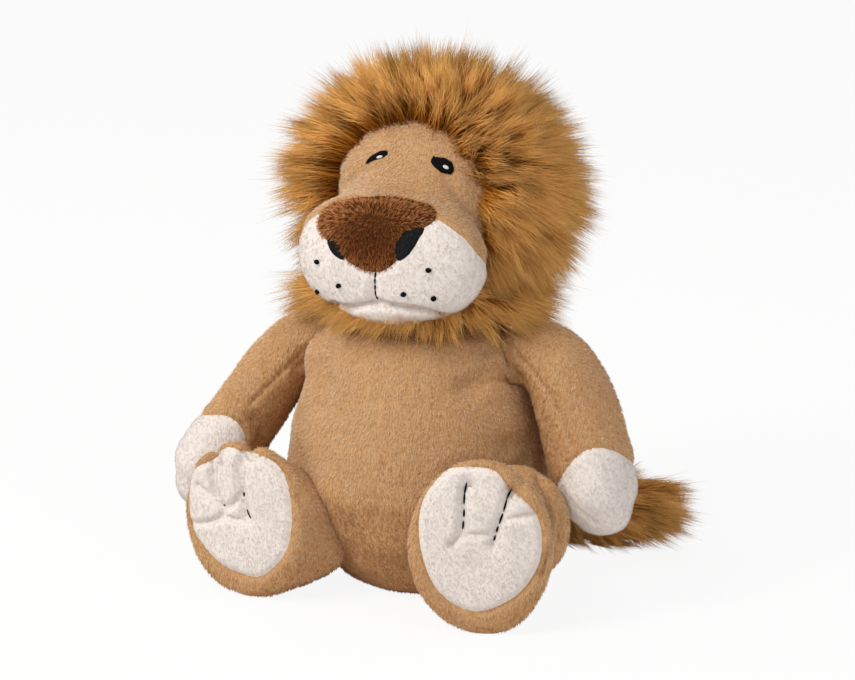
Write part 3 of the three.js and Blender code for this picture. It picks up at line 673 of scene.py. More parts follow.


# Short pile: one small tapered fibre at each place, combed down and swirled a little. Clumps
# part here and there. Painted shade and light: the pile is darker where the skin faces down and
# lighter where it faces up, and darker again by the painted shade given.
def shortPile(name, roots, upright, random, comb=(0, 0, -1), length=1.0, kind="torso", tones=None, shade=0):
    kind = pileSettings[kind]
    count = len(roots)
    down = np.broadcast_to(comb, (count, 3))
    lie = unit(down - upright * (upright * down).sum(axis=1)[:, None], 0.2)
    sweep, clump = pileSettings["sweep"] * mm, pileSettings["clump"] * mm
    swirl = np.array([noise.noise_vector(Vector(root / sweep)) for root in roots])
    tuft = np.array([noise.noise_vector(Vector(root / clump)) for root in roots])
    lie = lie + swirl * kind["swirl"] + tuft * kind["tuft"]
    lie = lie + random.normal(size=(count, 3)) * pileSettings["stray"]
    lie -= upright * (lie * upright).sum(axis=1)[:, None]
    course = unit(unit(lie, 0.2) + upright * pileSettings["rise"])
    reach = pileSettings["length"] * kind["length"] * length * mm * random.uniform(0.75, 1.2, count)
    lines = np.stack([roots - upright * pileSettings["sink"] * mm, roots + course * reach[:, None]], axis=1)
    lines[..., 2] = np.maximum(lines[..., 2], 0.1 * mm)
    radii = np.full((count, 1), pileSettings["width"] / 2 * mm) * random.uniform(0.8, 1.2, (count, 1))
    if tones is None:
        tones = kind["level"] + (tuft[:, 0] + tuft[:, 2]) * kind["contrast"] + swirl[:, 1] * 0.25
        # Painted light and shade by which way the skin faces, less the painted shade given
        tones += np.minimum(upright[:, 2], 0.25) * 0.6 + random.uniform(-0.12, 0.12, count) - shade
    piece = strandMesh(name, lines, radii, np.clip(tones, 0, 0.99))
    leanNormals(piece, upright, kind["normals"])
    return piece


# Tan cloth with short pile all over it
def tanCovered(skin, body, pileName, seed, nodes, comb=(0, 0, -1)):
    roots, upright, random = scattered(skin, seed)
    pile = shortPile(pileName, roots, upright, random, comb)
    dressed(skin, body, "tan_plush", tanCloth, *nodes)
    dressed(pile, body, "tan_plush", tanPile)


addCamera()
addLights()
addFloor()


# The torso: a pear with a flat seat
torsoForm = {
    "sections": [
        ((0, 3, 0), 30, 23),
        ((0, 5, 5), 39, 33),
        ((0, 6, 15), 48.5, 42.5),
        ((0, 6, 32), 58.5, 50.5),
        ((0, 3.5, 54), 66, 54.5),
        ((0, 3, 78), 62.7, 51.5),
        ((0, 3.5, 100), 55.8, 45.5),
        ((0, 4, 118), 50, 40),
        ((0, 4, 129), 44, 34),
        ((0, 6, 136), 28, 20),
    ],
    "sides": ((41, 4, 107), (15, 26, 20)),
    "voxel": 1.5,
    "smoothing": 14,
    "filling": 5,
    "lumps": (34, 2.6),
    "dimples": (2.8, 0.5),
    "lowShade": (64, 45, 0.8),
    "foldShade": (2.2, 0.7),
    "seed": 11,
    "folds": [
        ([(524, 371), (506, 379), (485, 379), (463, 386)], 4.5, 3.2),
        ([(528, 374), (520, 378), (513, 380)], 3.4, 3.6),
        ([(520, 360), (500, 364), (484, 372)], 4, 1.6),
        ([(546, 424), (530, 438), (508, 446)], 5, 2.2),
        ([(551, 452), (526, 457), (515, 472)], 4, 2.2),
        ([(556, 486), (538, 484), (520, 474)], 4, 2),
        ([(303, 352), (318, 364), (327, 384)], 5, 2.4),
        ([(296, 420), (308, 410), (322, 408)], 5, 1.4),
        ([(345, 560), (352, 545), (350, 528)], 6, 1.6),
    ],
}


def makeTorso():
    parts = [loft("torsoForm", torsoForm["sections"])]
    (x, y, z), radii = torsoForm["sides"]
    parts += [ellipsoid((side * x, y, z), radii) for side in (1, -1)]
    skin = stuffed("torsoSkin", parts, torsoForm["voxel"], torsoForm["smoothing"])
    lumps(skin, *torsoForm["lumps"])
    stuffing(skin, torsoForm["filling"], "torso", "torso_filling")
    folded(skin, torsoForm["folds"])
    lumps(skin, *torsoForm["dimples"])
    settled(skin)
    roots, upright, random = scattered(skin, torsoForm["seed"])
    # Painted shade: the pile is painted darker low down and in the folds under the arm, where shade falls
    top, drop, most = torsoForm["lowShade"]
    shade = np.clip((top - roots[:, 2] / mm) / drop, 0, 1) * most
    width, depth = torsoForm["foldShade"]
    for pixels, _, _ in torsoForm["folds"][:2]:
        shade += (1 - trimmed(roots, lineOn(skin, pixels), width, 0)) * depth
    pile = shortPile("torsoPile", roots, upright, random, shade=shade)
    dressed(skin, "torso", "tan_plush", tanCloth, "torso_skin")
    dressed(pile, "torso", "tan_plush", tanPile)


makeTorso()
print("torso made")


# Corners beside a seam move onto it, so that two panels meet in a clean line
def snapped(skin, labelled):
    applyModifier(skin, "TRIANGULATE")
    places = vertexPlaces(skin)
    label = labelled(places)
    ends = np.empty(len(skin.data.edges) * 2, dtype=np.int32)
    skin.data.edges.foreach_get("vertices", ends)
    ends = ends.reshape(-1, 2)
    ends = ends[label[ends[:, 0]] != label[ends[:, 1]]]
    start = places[ends[:, 0]]
    step = places[ends[:, 1]] - start
    low, high = np.zeros(len(ends)), np.ones(len(ends))
    for _ in range(7):
        middle = (low + high) / 2
        same = labelled(start + step * middle[:, None]) == label[ends[:, 0]]
        low, high = np.where(same, middle, low), np.where(same, high, middle)
    crossing = start + step * low[:, None]
    near = np.where(low < 0.5, ends[:, 0], ends[:, 1])
    order = np.argsort(-np.minimum(low, 1 - low))
    places[near[order]] = crossing[order]
    setPlaces(skin, places)


# Splits a skin by a label for each face and returns the pieces in the order of the labels
def panels(skin, labelled, names):
    snapped(skin, labelled)
    mark = skin.data.attributes.new("panel", "INT", "FACE")
    mark.data.foreach_set("value", labelled(faceCentres(skin)).astype(np.int32))
    bpy.context.tool_settings.mesh_select_mode = (False, False, True)
    pieces = [skin]
    for number in range(1, len(names)):
        activate(skin)
        bpy.ops.object.mode_set(mode="EDIT")
        bpy.ops.mesh.select_all(action="DESELECT")
        bpy.ops.object.mode_set(mode="OBJECT")
        values = np.empty(len(skin.data.polygons), dtype=np.int32)
        skin.data.attributes["panel"].data.foreach_get("value", values)
        skin.data.polygons.foreach_set("select", values == number)
        before = set(bpy.data.objects)
        bpy.ops.object.mode_set(mode="EDIT")
        bpy.ops.mesh.separate(type="SELECTED")
        bpy.ops.object.mode_set(mode="OBJECT")
        pieces += [thing for thing in bpy.data.objects if thing not in before]
    for piece, name in zip(pieces, names):
        piece.name = name
        piece.data.name = name
    return pieces


def faceCentres(piece):
    centres = np.empty(len(piece.data.polygons) * 3)
    piece.data.polygons.foreach_get("center", centres)
    return centres.reshape(-1, 3)


def inside(outline, across, over):
    result = np.zeros(len(across), dtype=bool)
    for (x0, y0), (x1, y1) in zip(outline, outline[1:] + outline[:1]):
        crosses = (y0 > over) != (y1 > over)
        slope = (x1 - x0) / (y1 - y0 if y1 != y0 else 1e-9)
        result ^= crosses & (across < x0 + slope * (over - y0))
    return result


def rounded(outline, rounds=2):
    track = smoothChain([(x, y, 0) for x, y in outline], closed=True, rounds=rounds)
    return [(spot.x, spot.y) for spot in track]


# The x and z of places, in millimetres
def flat(spots):
    return [(spot.x / mm, spot.z / mm) for spot in spots]


# Where a line from the front, at x and z in millimetres, meets a skin
def frontOf(tree, x, z):
    return tree.ray_cast(Vector((x, -120, z)) * mm, Vector((0, 1, 0)))[:2]


# A pad of thread or felt laid on the skin, from an outline seen from the front
def pad(name, outline, skinTree, height, sink=0.3):
    shares = (1, 0.9, 0.65, 0.35)
    centre = Vector((sum(x for x, _ in outline), sum(z for _, z in outline))) / len(outline)
    verts = []
    for share, lift in zip(shares, (-sink, height * 0.75, height, height)):
        for x, z in outline:
            spot = centre + (Vector((x, z)) - centre) * share
            hit, normal = frontOf(skinTree, *spot)
            verts.append(hit + normal * lift * mm)
    hit, normal = frontOf(skinTree, *centre)
    verts += [hit + normal * height * mm, hit - normal * sink * 4 * mm]
    count = len(outline)
    faces = []
    for ring in range(len(shares) - 1):
        for i in range(count):
            j = (i + 1) % count
            low, high = ring * count, (ring + 1) * count
            faces.append((low + i, low + j, high + j, high + i))
    top = (len(shares) - 1) * count
    for i in range(count):
        faces.append((top + i, top + (i + 1) % count, len(verts) - 2))
        faces.append(((i + 1) % count, i, len(verts) - 1))
    mesh = bpy.data.meshes.new(name)
    mesh.from_pydata(verts, [], faces)
    piece = bpy.data.objects.new(name, mesh)
    bpy.context.collection.objects.link(piece)
    facedOutward(piece)
    return piece


def ellipseOutline(centre, half, tilt, sides=12):
    angle = math.radians(tilt)
    spots = []
    for i in range(sides):
        turn = i / sides * 2 * math.pi
        x = math.cos(turn) * half[0]
        z = math.sin(turn) * half[1]
        spots.append((
            centre[0] + x * math.cos(angle) - z * math.sin(angle),
            centre[1] + x * math.sin(angle) + z * math.cos(angle),
        ))
    return spots


# Thread sewn along a line: short rounded stitches just above the skin
def stitches(name, line, radius, stitch, gap, grain=0.5):
    track = resampled(line, grain * mm)
    step = round(stitch / grain)
    skip = round(gap / grain)
    parts = []
    i = 0
    while i + step < len(track) or not parts:
        start, end = track[i], track[min(i + step, len(track) - 1)]
        bpy.ops.mesh.primitive_uv_sphere_add(segments=8, ring_count=6, radius=1)
        part = bpy.context.object
        part.scale = (radius * mm, radius * mm, (end - start).length * 0.6)
        part.rotation_euler = (end - start).to_track_quat("Z", "Y").to_euler()
        part.location = (start + end) / 2
        bpy.ops.object.transform_apply()
        parts.append(part)
        i += step + skip
    return joined(name, parts)


# The head: a ball, a blunt muzzle, a throat and a chin that run into one another
headForm = {
    "middle": (0, -3.5, 179),
    "skull": ((0, 20, 190), (46.5, 38, 42), 2, 0),
    "muzzle": ((0, -27, 169.5), (46.5, 21, 30), 2.3, 14),
    "throat": ((0, 12, 152), (34, 31, 20), 2, 14),
    "chin": ((-1.5, -29, 148.6), (24, 15, 9.6), 2, 3),
    "detail": 7,
    "filling": 6,
    "lumps": (26, 1.6),
    "dimples": (2.6, 0.12),
    "seed": 21,
    "seamBack": 11,
}
faceLines = {
    "nose": [
        (-33.2, 187.6), (-30.5, 191.8), (-24.7, 195.2), (-14, 197.8), (-2.8, 199), (9, 198.8), (19.5, 197.4),
        (25.4, 194.9), (26.6, 192), (23.8, 189), (17.5, 187.1), (14, 186.5), (11, 179.1), (12.2, 173.7),
        (8.4, 170.1), (1.9, 166.1), (-6.8, 167.5), (-14.2, 170.4), (-18.8, 175.4), (-25.7, 178.6),
        (-31.5, 183),
    ],
    "noseGroove": (1.7, 1.0),
    "mouthGroove": (2.0, 4.8),
    "stitchGroove": (2.6, 1.7),
    "muzzleGroove": (1.8, 0.9),
    "noseFront": -24,
    "noseRows": 1.9,
    "nostrils": {
        "left": [
            (24.6, 189.8), (17.2, 188), (13.2, 186.8), (10.4, 179.2), (11.6, 173), (14.5, 173.6),
            (19.2, 178),
        ],
        "right": [
            (-26.2, 178.8), (-22.6, 180.4), (-18.8, 180), (-14.5, 170.4), (-17.6, 170.8), (-22, 173.3),
        ],
    },
    "muzzleTop": [
        (-53.5, 168), (-46.5, 177), (-40, 184), (-28, 190.5), (28, 190.5), (40, 184), (46.5, 177),
        (53.5, 168),
    ],
    "muzzleSlope": 0.7,
    "muzzleFront": -34,
    "mouth": [
        (-27, 144.5), (-24.9, 146.4), (-17.9, 145.2), (-9, 148.5), (-0.3, 151.8), (8, 150.2), (16.7, 149.9),
        (25, 148.5), (29, 145.5),
    ],
    "stitch": [(0.6, 166.5), (0.1, 159), (-0.3, 151.5)],
    "whiskers": {
        "left": [(26.8, 170), (14.8, 157.6), (28.4, 156.3)],
        "right": [(-30.4, 167.7), (-18.6, 157.9), (-33.1, 151.8)],
    },
    "whiskerHalf": (1.45, 1.2),
    "eyes": {
        "left": [
            (432.6, 154.6), (434, 157), (438, 157), (444, 157.4), (451, 161), (455, 167), (453.6, 172.6),
            (450, 175), (443, 173.6), (436, 168.6), (431.2, 164.2), (430.4, 161), (432, 158),
        ],
        "right": [
            (365.6, 165), (367, 160.6), (372, 156), (380, 151.4), (387, 150.2), (389.2, 152), (387, 155.4),
            (381, 158.6), (373, 160.6), (368, 163.4),
        ],
    },
    "glints": {"left": ((447, 166.6), (1.5, 0.75), -30), "right": ((380.6, 156.4), (1.7, 0.6), 20)},
    "folds": [
        ([(366, 168), (350, 180), (335, 197)], 4, 1.8),
        ([(447, 177), (457, 196), (478, 222)], 3.4, 1.7),
        ([(398, 130), (402, 145), (400, 160)], 6, 0.9),
    ],
}


def headField(points):
    total = None
    for part in ("skull", "muzzle", "throat", "chin"):
        centre, half, power, blend = headForm[part]
        share = np.abs(points - np.array(centre)) / np.array(half)
        field = ((share ** power).sum(axis=1) ** (1 / power) - 1) * min(half)
        if total is None:
            total = field
            continue
        mix = np.maximum(blend - np.abs(total - field), 0) / blend
        total = np.minimum(total, field) - mix * mix * blend / 4
    return total


def headSkin():
    bpy.ops.mesh.primitive_ico_sphere_add(subdivisions=headForm["detail"], radius=1)
    skin = bpy.context.object
    skin.name = "headSkin"
    directions = unit(vertexPlaces(skin))
    middle = np.array(headForm["middle"])
    near = np.zeros(len(directions))
    far = np.full(len(directions), 140.0)
    for _ in range(16):
        half = (near + far) / 2
        within = headField(middle + directions * half[:, None]) < 0
        near = np.where(within, half, near)
        far = np.where(within, far, half)
    setPlaces(skin, (middle + directions * near[:, None]) * mm)
    return skin


def onFront(tree, spots, lift=0.0):
    line = []
    for x, z in spots:
        hit, normal = frontOf(tree, x, z)
        if hit:
            line.append(hit + normal * lift * mm)
    return line


def makeHead():
    skin = headSkin()
    stuffing(skin, headForm["filling"], "head", "head_filling")
    tree = treeOf(skin)
    nose = rounded(faceLines["nose"])
    noseLine = [spot for spot in onFront(tree, nose) if spot.y < faceLines["noseFront"] * mm]
    groove(skin, noseLine, *faceLines["noseGroove"])
    mouthLine = resampled(smoothChain(onFront(tree, faceLines["mouth"])), 1 * mm)
    groove(skin, mouthLine, *faceLines["mouthGroove"])
    groove(skin, resampled(onFront(tree, faceLines["stitch"]), 1 * mm), *faceLines["stitchGroove"])
    folded(skin, faceLines["folds"])
    seam = []
    for (x0, z0), (x1, z1) in zip(faceLines["muzzleTop"], faceLines["muzzleTop"][1:]):
        for i in range(14):
            x = x0 + (x1 - x0) * i / 14
            z = z0 + (z1 - z0) * i / 14
            for y in range(-40, 12, 3):
                spot = Vector((x, y, z - faceLines["muzzleSlope"] * (y - faceLines["muzzleFront"]))) * mm
                near, _, _, distance = tree.find_nearest(spot)
                if distance < 1.5 * mm:
                    seam.append(near)
    groove(skin, seam, *faceLines["muzzleGroove"])
    lumps(skin, *headForm["lumps"])
    lumps(skin, *headForm["dimples"])
    tree = treeOf(skin)
    eyes = {side: flat(seenOn(skin, pixels)) for side, pixels in faceLines["eyes"].items()}
    glints = {side: flat(seenOn(skin, [mark[0]]))[0] for side, mark in faceLines["glints"].items()}

    def labelled(places):
        x, y, z = (places / mm).T
        label = np.zeros(len(x), dtype=int)
        rim = [(-60, 100), *faceLines["muzzleTop"], (60, 100)]
        label[inside(rim, x, z + faceLines["muzzleSlope"] * (y - faceLines["muzzleFront"]))] = 1
        label[inside([(-27, 100), *faceLines["mouth"], (27, 100)], x, z) & (y < -12)] = 2
        label[inside(nose, x, z) & (y < faceLines["noseFront"])] = 3
        label[y > headForm["seamBack"]] = 4
        return label

    roots, upright, random = scattered(skin, headForm["seed"])
    label = labelled(roots)
    x, y, z = (roots / mm).T
    front = y < 0
    bare = np.zeros(len(x), dtype=bool)
    for side in ("left", "right"):
        bare |= inside(faceLines["nostrils"][side], x, z) & front
        bare |= inside(eyes[side], x, z) & front
        for spot in faceLines["whiskers"][side]:
            bare |= (np.hypot(x - spot[0], z - spot[1]) < 1.3) & front
    bare |= (np.abs(x) < 0.9) & (z < 166) & (z > 151.5) & front
    length = trimmed(roots, [*noseLine, *mouthLine, *seam])
    piles = (
        ("facePile", 0, "tan_plush", tanPile, (0, 0.2, -1), "face"),
        ("muzzlePile", 1, "cream_plush", creamPile, (0, 0, -1), "cream"),
        ("chinPile", 2, "cream_plush", creamPile, (0, 0, -1), "cream"),
        ("nosePile", 3, "brown_plush", nosePile, (0, 0, -1), "nose"),
    )
    for name, number, slot, material, comb, kind in piles:
        chosen = np.nonzero((label == number) & ~bare)[0]
        tones = None
        if name == "nosePile":
            # The brown pile stands in rows across the nose and is paler towards its rim
            chosen = np.repeat(chosen, 2)
            rows = z[chosen] / faceLines["noseRows"] + 0.2 * np.sin(x[chosen] / 5)
            middle = np.hypot((x[chosen] + 2) / 25, (z[chosen] - 183) / 17)
            rise = np.clip((z[chosen] - 191) / 6, -1, 0.4)
            comb = np.stack([(x[chosen] + 3) / 24, np.zeros(len(chosen)), rise], axis=1)
            tones = 0.14 + middle ** 2 * 0.95 + 0.2 * np.sin(rows * 2 * math.pi)
            tones += random.uniform(-0.12, 0.12, len(chosen))
        scatter = random.normal(size=(len(chosen), 3))
        places = roots[chosen] + scatter * (0.2 * mm if name == "nosePile" else 0)
        share = length[chosen] if kind != "nose" else np.maximum(length[chosen], 0.8) * 1.25
        # Painted highlight: the pile on the bridge above the nose is painted lighter, where it catches the
        # light
        shade = -0.28 * np.exp(-(((z[chosen] - 200) / 9) ** 2)) if kind == "face" else 0
        pile = shortPile(name, places, upright[chosen], random, comb, share, kind, tones, shade)
        dressed(pile, "head", slot, material)

    names = ["faceSkin", "muzzlePanel", "chinPanel", "nosePanel", "scalp"]
    face, muzzle, chin, noseCover, scalp = panels(skin, labelled, names)
    dressed(face, "head", "tan_plush", tanCloth, "face_skin")
    dressed(muzzle, "head", "cream_plush", creamCloth, "muzzle_panel")
    dressed(chin, "head", "cream_plush", creamCloth, "chin_panel")
    dressed(noseCover, "head", "brown_plush", noseCloth, "nose_panel")
    # The scalp wears the dark cloth that stands for painted shade between the locks of the mane
    dressed(scalp, "head", "mane_fur", maneCloth)

    for side in ("left", "right"):
        nostril = pad("nostril" + side.title(), rounded(faceLines["nostrils"][side], 1), tree, 0.7)
        dressed(nostril, "head", "black_thread", blackFelt, "nostril_" + side)
        # The ends of the stitches leave the edge of the eye a little ragged
        outline = rounded(eyes[side], 1)
        middle = np.mean(outline, axis=0)
        swell = (0.98, 1.04, 1.0, 1.05, 0.97)
        outline = [
            tuple(middle + (np.array(spot) - middle) * swell[i % 5]) for i, spot in enumerate(outline)
        ]
        eye = pad("eye" + side.title(), outline, tree, 1.1)
        dressed(eye, "head", "black_thread", blackThread, "eye_" + side)
        eyeTree = treeOf(eye)
        _, half, tilt = faceLines["glints"][side]
        mark = ellipseOutline(glints[side], half, tilt)
        glint = pad("eyeGlint" + side.title(), mark, eyeTree, 0.3, 0.1)
        dressed(glint, "head", "white_thread", whiteThread, "eye_glint_" + side)
        for i, spot in enumerate(faceLines["whiskers"][side]):
            mark = ellipseOutline(spot, faceLines["whiskerHalf"], 20 * i)
            dot = pad(f"whisker{side.title()}{i + 1}", mark, tree, 1.2)
            dressed(dot, "head", "black_thread", blackThread, f"whisker_dot_{side}_{i + 1}")
    track = resampled([Vector((x, 0, z)) * mm for x, z in faceLines["stitch"]], 0.5 * mm)
    line = onFront(tree, flat(track), 0.2)
    seamThread = stitches("mouthStitch", line, 0.45, 2.5, 0.5)
    dressed(seamThread, "head", "black_thread", blackThread, "mouth_stitch")


makeHead()
print("head made")


# The mane: locks of long fibre that radiate from the edge of the face and from the whole scalp.
# Its outline is a share of the radius at each depth.
mane = {
    "centre": (0, 10, 191),
    "radius": (78, 71),
    "outer": [
        (-11, 0.7), (-6.8, 0.86), (1.2, 0.96), (10, 1), (35.6, 0.975), (58, 0.85), (76.4, 0.61), (86.8, 0.3),
        (90, 0.02),
    ],
    "scalpCentre": (0, 20, 190),
    "scalpHalf": (45.5, 37.5, 41),
    "front": 4,
    "lowest": 146,
    "spray": 0.11,
    "wave": (13, 0.3),
    "strays": 0.34,
    "strayLength": (0.6, 0.96),
    "length": (0.74, 1.03),
    "locks": 1750,
    "fibres": 36,
    "rootSpread": 3.8,
    "tipSpread": 1.5,
    "straySpread": 4.2,
    "droop": {1: 0.3, -1: 0.16},
    "width": 0.36,
    "knots": (0, 0.45, 1),
    "pieces": 5,
    "collar": {"locks": 330, "ring": (33, 28), "middle": (0, 10), "height": 146, "reach": (31, 41)},
    "seed": 5,
}


def maneReach(places, courses):
    steps = np.linspace(4, 75, 72)
    spots = places[:, None] + courses[:, None] * steps[None, :, None]
    ys, shares = zip(*mane["outer"])
    limit = np.interp(spots[..., 1], ys, shares, left=0, right=0)
    cx, _, cz = mane["centre"]
    size = np.hypot((spots[..., 0] - cx) / mane["radius"][0], (spots[..., 2] - cz) / mane["radius"][1])
    within = size < limit
    last = within.shape[1] - 1 - np.argmax(within[:, ::-1], axis=1)
    return np.where(within.any(axis=1), steps[last], 12)


def aboveNeck(spots, margin):
    across = spots[..., 0] ** 2 + (spots[..., 1] - 12) ** 2
    floor = 135.5 - across / 520 + margin
    spots[..., 2] = np.maximum(spots[..., 2], floor)


def makeMane():
    random = np.random.default_rng(mane["seed"])
    centre = np.array(mane["scalpCentre"])
    half = np.array(mane["scalpHalf"])
    places = centre + unit(random.normal(size=(mane["locks"] * 3, 3))) * half
    # On the left side the mane starts a little further forward
    keep = places[:, 1] > mane["front"] - np.clip(places[:, 0] / 40, 0, 1) * 8
    keep &= places[:, 2] > mane["lowest"]
    places = places[keep][: mane["locks"]]
    normals = unit((places - centre) / half ** 2)
    radial = unit((places - centre) * (1, 0, 1), 1)
    edge = np.clip(1 - (places[:, 1] - mane["front"]) / 16, 0, 1)[:, None]
    courses = normals * (1 - edge) + (radial * 0.94 + np.array((0, -0.34, 0))) * edge
    courses += random.normal(size=courses.shape) * mane["spray"]
    sweep, swirl = mane["wave"]
    courses += np.array([noise.noise_vector(Vector(place / sweep)) for place in places]) * swirl
    droop = np.where(radial[:, 0] > 0, mane["droop"][1], mane["droop"][-1]) * np.abs(radial[:, 0])
    courses[:, 2] -= droop + 0.04
    courses = unit(courses)
    reach = maneReach(places, courses) * random.uniform(0.98, 1.13, len(places))
    reach *= 1 + 0.13 * np.clip((places[:, 1] - 15) / 25, 0, 1) + 0.1 * np.clip(-places[:, 0] / 30, 0, 1)
    bend = np.array((0.0, 0.0, -0.06)) * reach[:, None]
    bend = bend + random.normal(size=courses.shape) * 0.05 * reach[:, None]
    tips = places + courses * reach[:, None] + bend

    # A collar of shorter locks lies out over the shoulders and under the chin
    collar = mane["collar"]
    angle = random.random(collar["locks"]) * 2 * math.pi
    out = np.stack([np.cos(angle), np.sin(angle), np.zeros(len(angle))], axis=1)
    ring = out * (*collar["ring"], 0) + (*collar["middle"], collar["height"])
    ring[:, 2] += random.uniform(-4, 6, len(angle))
    course = unit(out + np.array((0, 0, -0.3)) + random.normal(size=out.shape) * 0.14)
    far = np.where(out[:, 1] < -0.5, *collar["reach"]) * random.uniform(0.85, 1.12, len(angle))
    places = np.concatenate([places, ring])
    courses = np.concatenate([courses, course])
    reach = np.concatenate([reach, far])
    tips = np.concatenate([tips, ring + course * far[:, None]])

    count = mane["fibres"]
    total = len(places) * count
    collarFibres = np.repeat(np.arange(len(places)) >= len(places) - len(ring), count)
    lock = np.repeat(np.arange(len(places)), count)
    roots = places[lock] + random.normal(size=(total, 3)) * mane["rootSpread"] * 0.6
    shell = centre + unit((roots - centre) / half) * half * 0.985
    roots = np.where(collarFibres[:, None], roots, shell)
    stray = random.random(total) < mane["strays"]
    lockSpread = mane["tipSpread"] * random.uniform(0.6, 1.5, len(places))
    spread = np.where(stray, mane["straySpread"], lockSpread[lock])[:, None]
    ends = tips[lock] + random.normal(size=(total, 3)) * spread
    strayLength = random.uniform(*mane["strayLength"], total)
    length = np.where(stray, strayLength, random.uniform(*mane["length"], total))
    ends = roots + (ends - roots) * length[:, None]
    middleShift = courses[lock] * (reach[lock] * 0.06)[:, None]
    knots = []
    for t in mane["knots"]:
        spot = roots + (ends - roots) * t
        arch = 4 * t * (1 - t)
        knots.append(spot + middleShift * arch + np.array((0, 0, 1)) * (reach[lock] * 0.035 * arch)[:, None])
    lines = np.stack(knots, axis=1)
    aboveNeck(lines, 0.8)
    radii = np.outer(random.uniform(0.75, 1.25, total), (1.0, 0.85)) * mane["width"] / 2
    patch = np.array([noise.noise(Vector(place / 6)) for place in places]) * 0.7
    lockTone = np.clip(random.random(len(places)) * 0.8 + 0.1 + patch, 0, 1)
    # Painted light and shade: fibres are painted lighter towards the lion's left side and darker on top of
    # the mane
    paintedLightAndShade = np.clip(roots[:, 0] / 40, -0.4, 1) * 0.14 - np.clip((roots[:, 2] - 200) / 40, 0, 1) * 0.22
    tones = np.clip(lockTone[lock] * 0.7 + random.random(total) * 0.3 + paintedLightAndShade, 0, 0.999)
    angle = np.argsort(np.argsort(np.arctan2(roots[:, 0], roots[:, 2] - centre[2])))
    share = angle * mane["pieces"] // total
    for i in range(mane["pieces"]):
        chosen = share == i
        piece = strandMesh(f"maneFibres{i + 1}", lines[chosen] * mm, radii[chosen] * mm, tones[chosen])
        dressed(piece, "head", "mane_fur", maneFibre, *([] if i else ["mane_ruff", "mane_back"]))


makeMane()
print("mane made")


# Ears: soft flaps that stand in the mane
ears = {
    "tilt": 34,
    "reach": 48,
    "height": 191,
    "half": (12, 3.2, 16),
    "dent": (8.5, 4.6, 12),
    "back": 24,
    "voxel": 1.1,
    "smoothing": 6,
    "seed": 31,
}


def makeEars():
    for side, sign in (("left", 1), ("right", -1)):
        angle = math.radians(ears["tilt"])
        x = sign * math.cos(angle) * ears["reach"]
        z = ears["height"] + math.sin(angle) * ears["reach"]
        turn = (0, sign * (90 - ears["tilt"]), 0)
        flap = ellipsoid((x, ears["back"], z), ears["half"], turn)
        dent = ellipsoid((x, ears["back"] - 5, z), ears["dent"], turn)
        applyModifier(flap, "BOOLEAN", object=dent, operation="DIFFERENCE", solver="EXACT")
        bpy.data.objects.remove(dent)
        ear = stuffed("ear" + side.title(), [flap], ears["voxel"], ears["smoothing"])
        nodes = ["ear_cover_" + side, "ear_lining_" + side]
        tanCovered(ear, "head", "earPile" + side.title(), ears["seed"], nodes)


makeEars()
print("ears made")


# Covers a limb on one side: tan and cream pile, then the tan and cream panels under it
def covered(skin, limb, side, sites, piles, covers, labelled):
    roots, upright, length, random = sites
    fibres = [
        shortPile(
            name + side.title(), roots[chosen], upright[chosen], random,
            length=length[chosen], kind=kind, shade=shade,
        )
        for name, chosen, kind, shade in piles
    ]
    body = f"{limb}_{side}"
    cloths = panels(skin, labelled, [name + side.title() for name, _ in covers])
    looks = (("tan_plush", tanCloth, tanPile), ("cream_plush", creamCloth, creamPile))
    for cloth, (_, node), (slot, material, _) in zip(cloths, covers, looks):
        dressed(cloth, body, slot, material, node + side)
    for pile, (slot, _, material) in zip(fibres, looks):
        dressed(pile, body, slot, material)


# Arms hang from the shoulders in a soft bend and end in a cream paw
arms = {
    "shoulder": (50, 4, 116),
    "left": {
        "side": 1,
        "spots": [
            (-6, 0, 6), (0, 0, 2), (10, 1, 7), (22.5, 1, -1), (31.5, -1, -17), (38, -3, -34),
            (41.5, -5, -47), (44, -6, -55),
        ],
        "radii": (11.5, 13.4, 16, 18, 19.2, 19.8, 20.2, 19.8),
        "under": (-0.8, -0.35, -0.45),
        "tip": (4, -1, -9),
        "cap": ((90, 0, 80.5), (0.3, -0.12, -0.95)),
        "arc": 11,
        "ridge": 0.45,
        "folds": [
            ([(517, 353), (540, 380), (556, 404), (567, 434), (571, 444)], 1.2, 1.6),
            ([(559, 484), (571, 501), (594, 522), (612, 538)], 1.3, 0.9),
            ([(497, 352), (506, 366), (520, 380)], 3.4, 3.4),
        ],
    },
    "right": {
        "side": -1,
        "spots": [
            (-6, 0, 3), (0, 0, 0), (12, 0, -3), (21, -2, -12), (31, -6, -28), (40, -10, -43), (48, -14, -56),
            (53, -17, -64),
        ],
        "radii": (11.5, 13.4, 16, 16.6, 17, 17.8, 19.6, 19.8),
        "under": (0.6, -0.1, -0.75),
        "tip": (5, -2, -10),
        "cap": ((-93.8, -7.3, 76), (-0.46, -0.26, -0.84)),
        "arc": 15,
        "ridge": 0,
        "folds": [
            ([(317, 334), (302, 351), (286, 368), (266, 388), (250, 404)], 1.1, 1.2),
            ([(253, 418), (262, 430), (259, 444)], 3, 1.6),
            ([(320, 356), (306, 358), (298, 366)], 4, 2.2),
        ],
    },
    "start": (13.8, 13.8, 13.8),
    "end": (19.6, 19.6, 19.2),
    "tip": (14.5, 14.5, 14),
    "voxel": 1.4,
    "smoothing": 12,
    "filling": 4,
    "lumps": (24, 2),
    "dimples": (2.8, 0.28),
    "seam": (1.5, 0.9),
    "seed": 41,
}


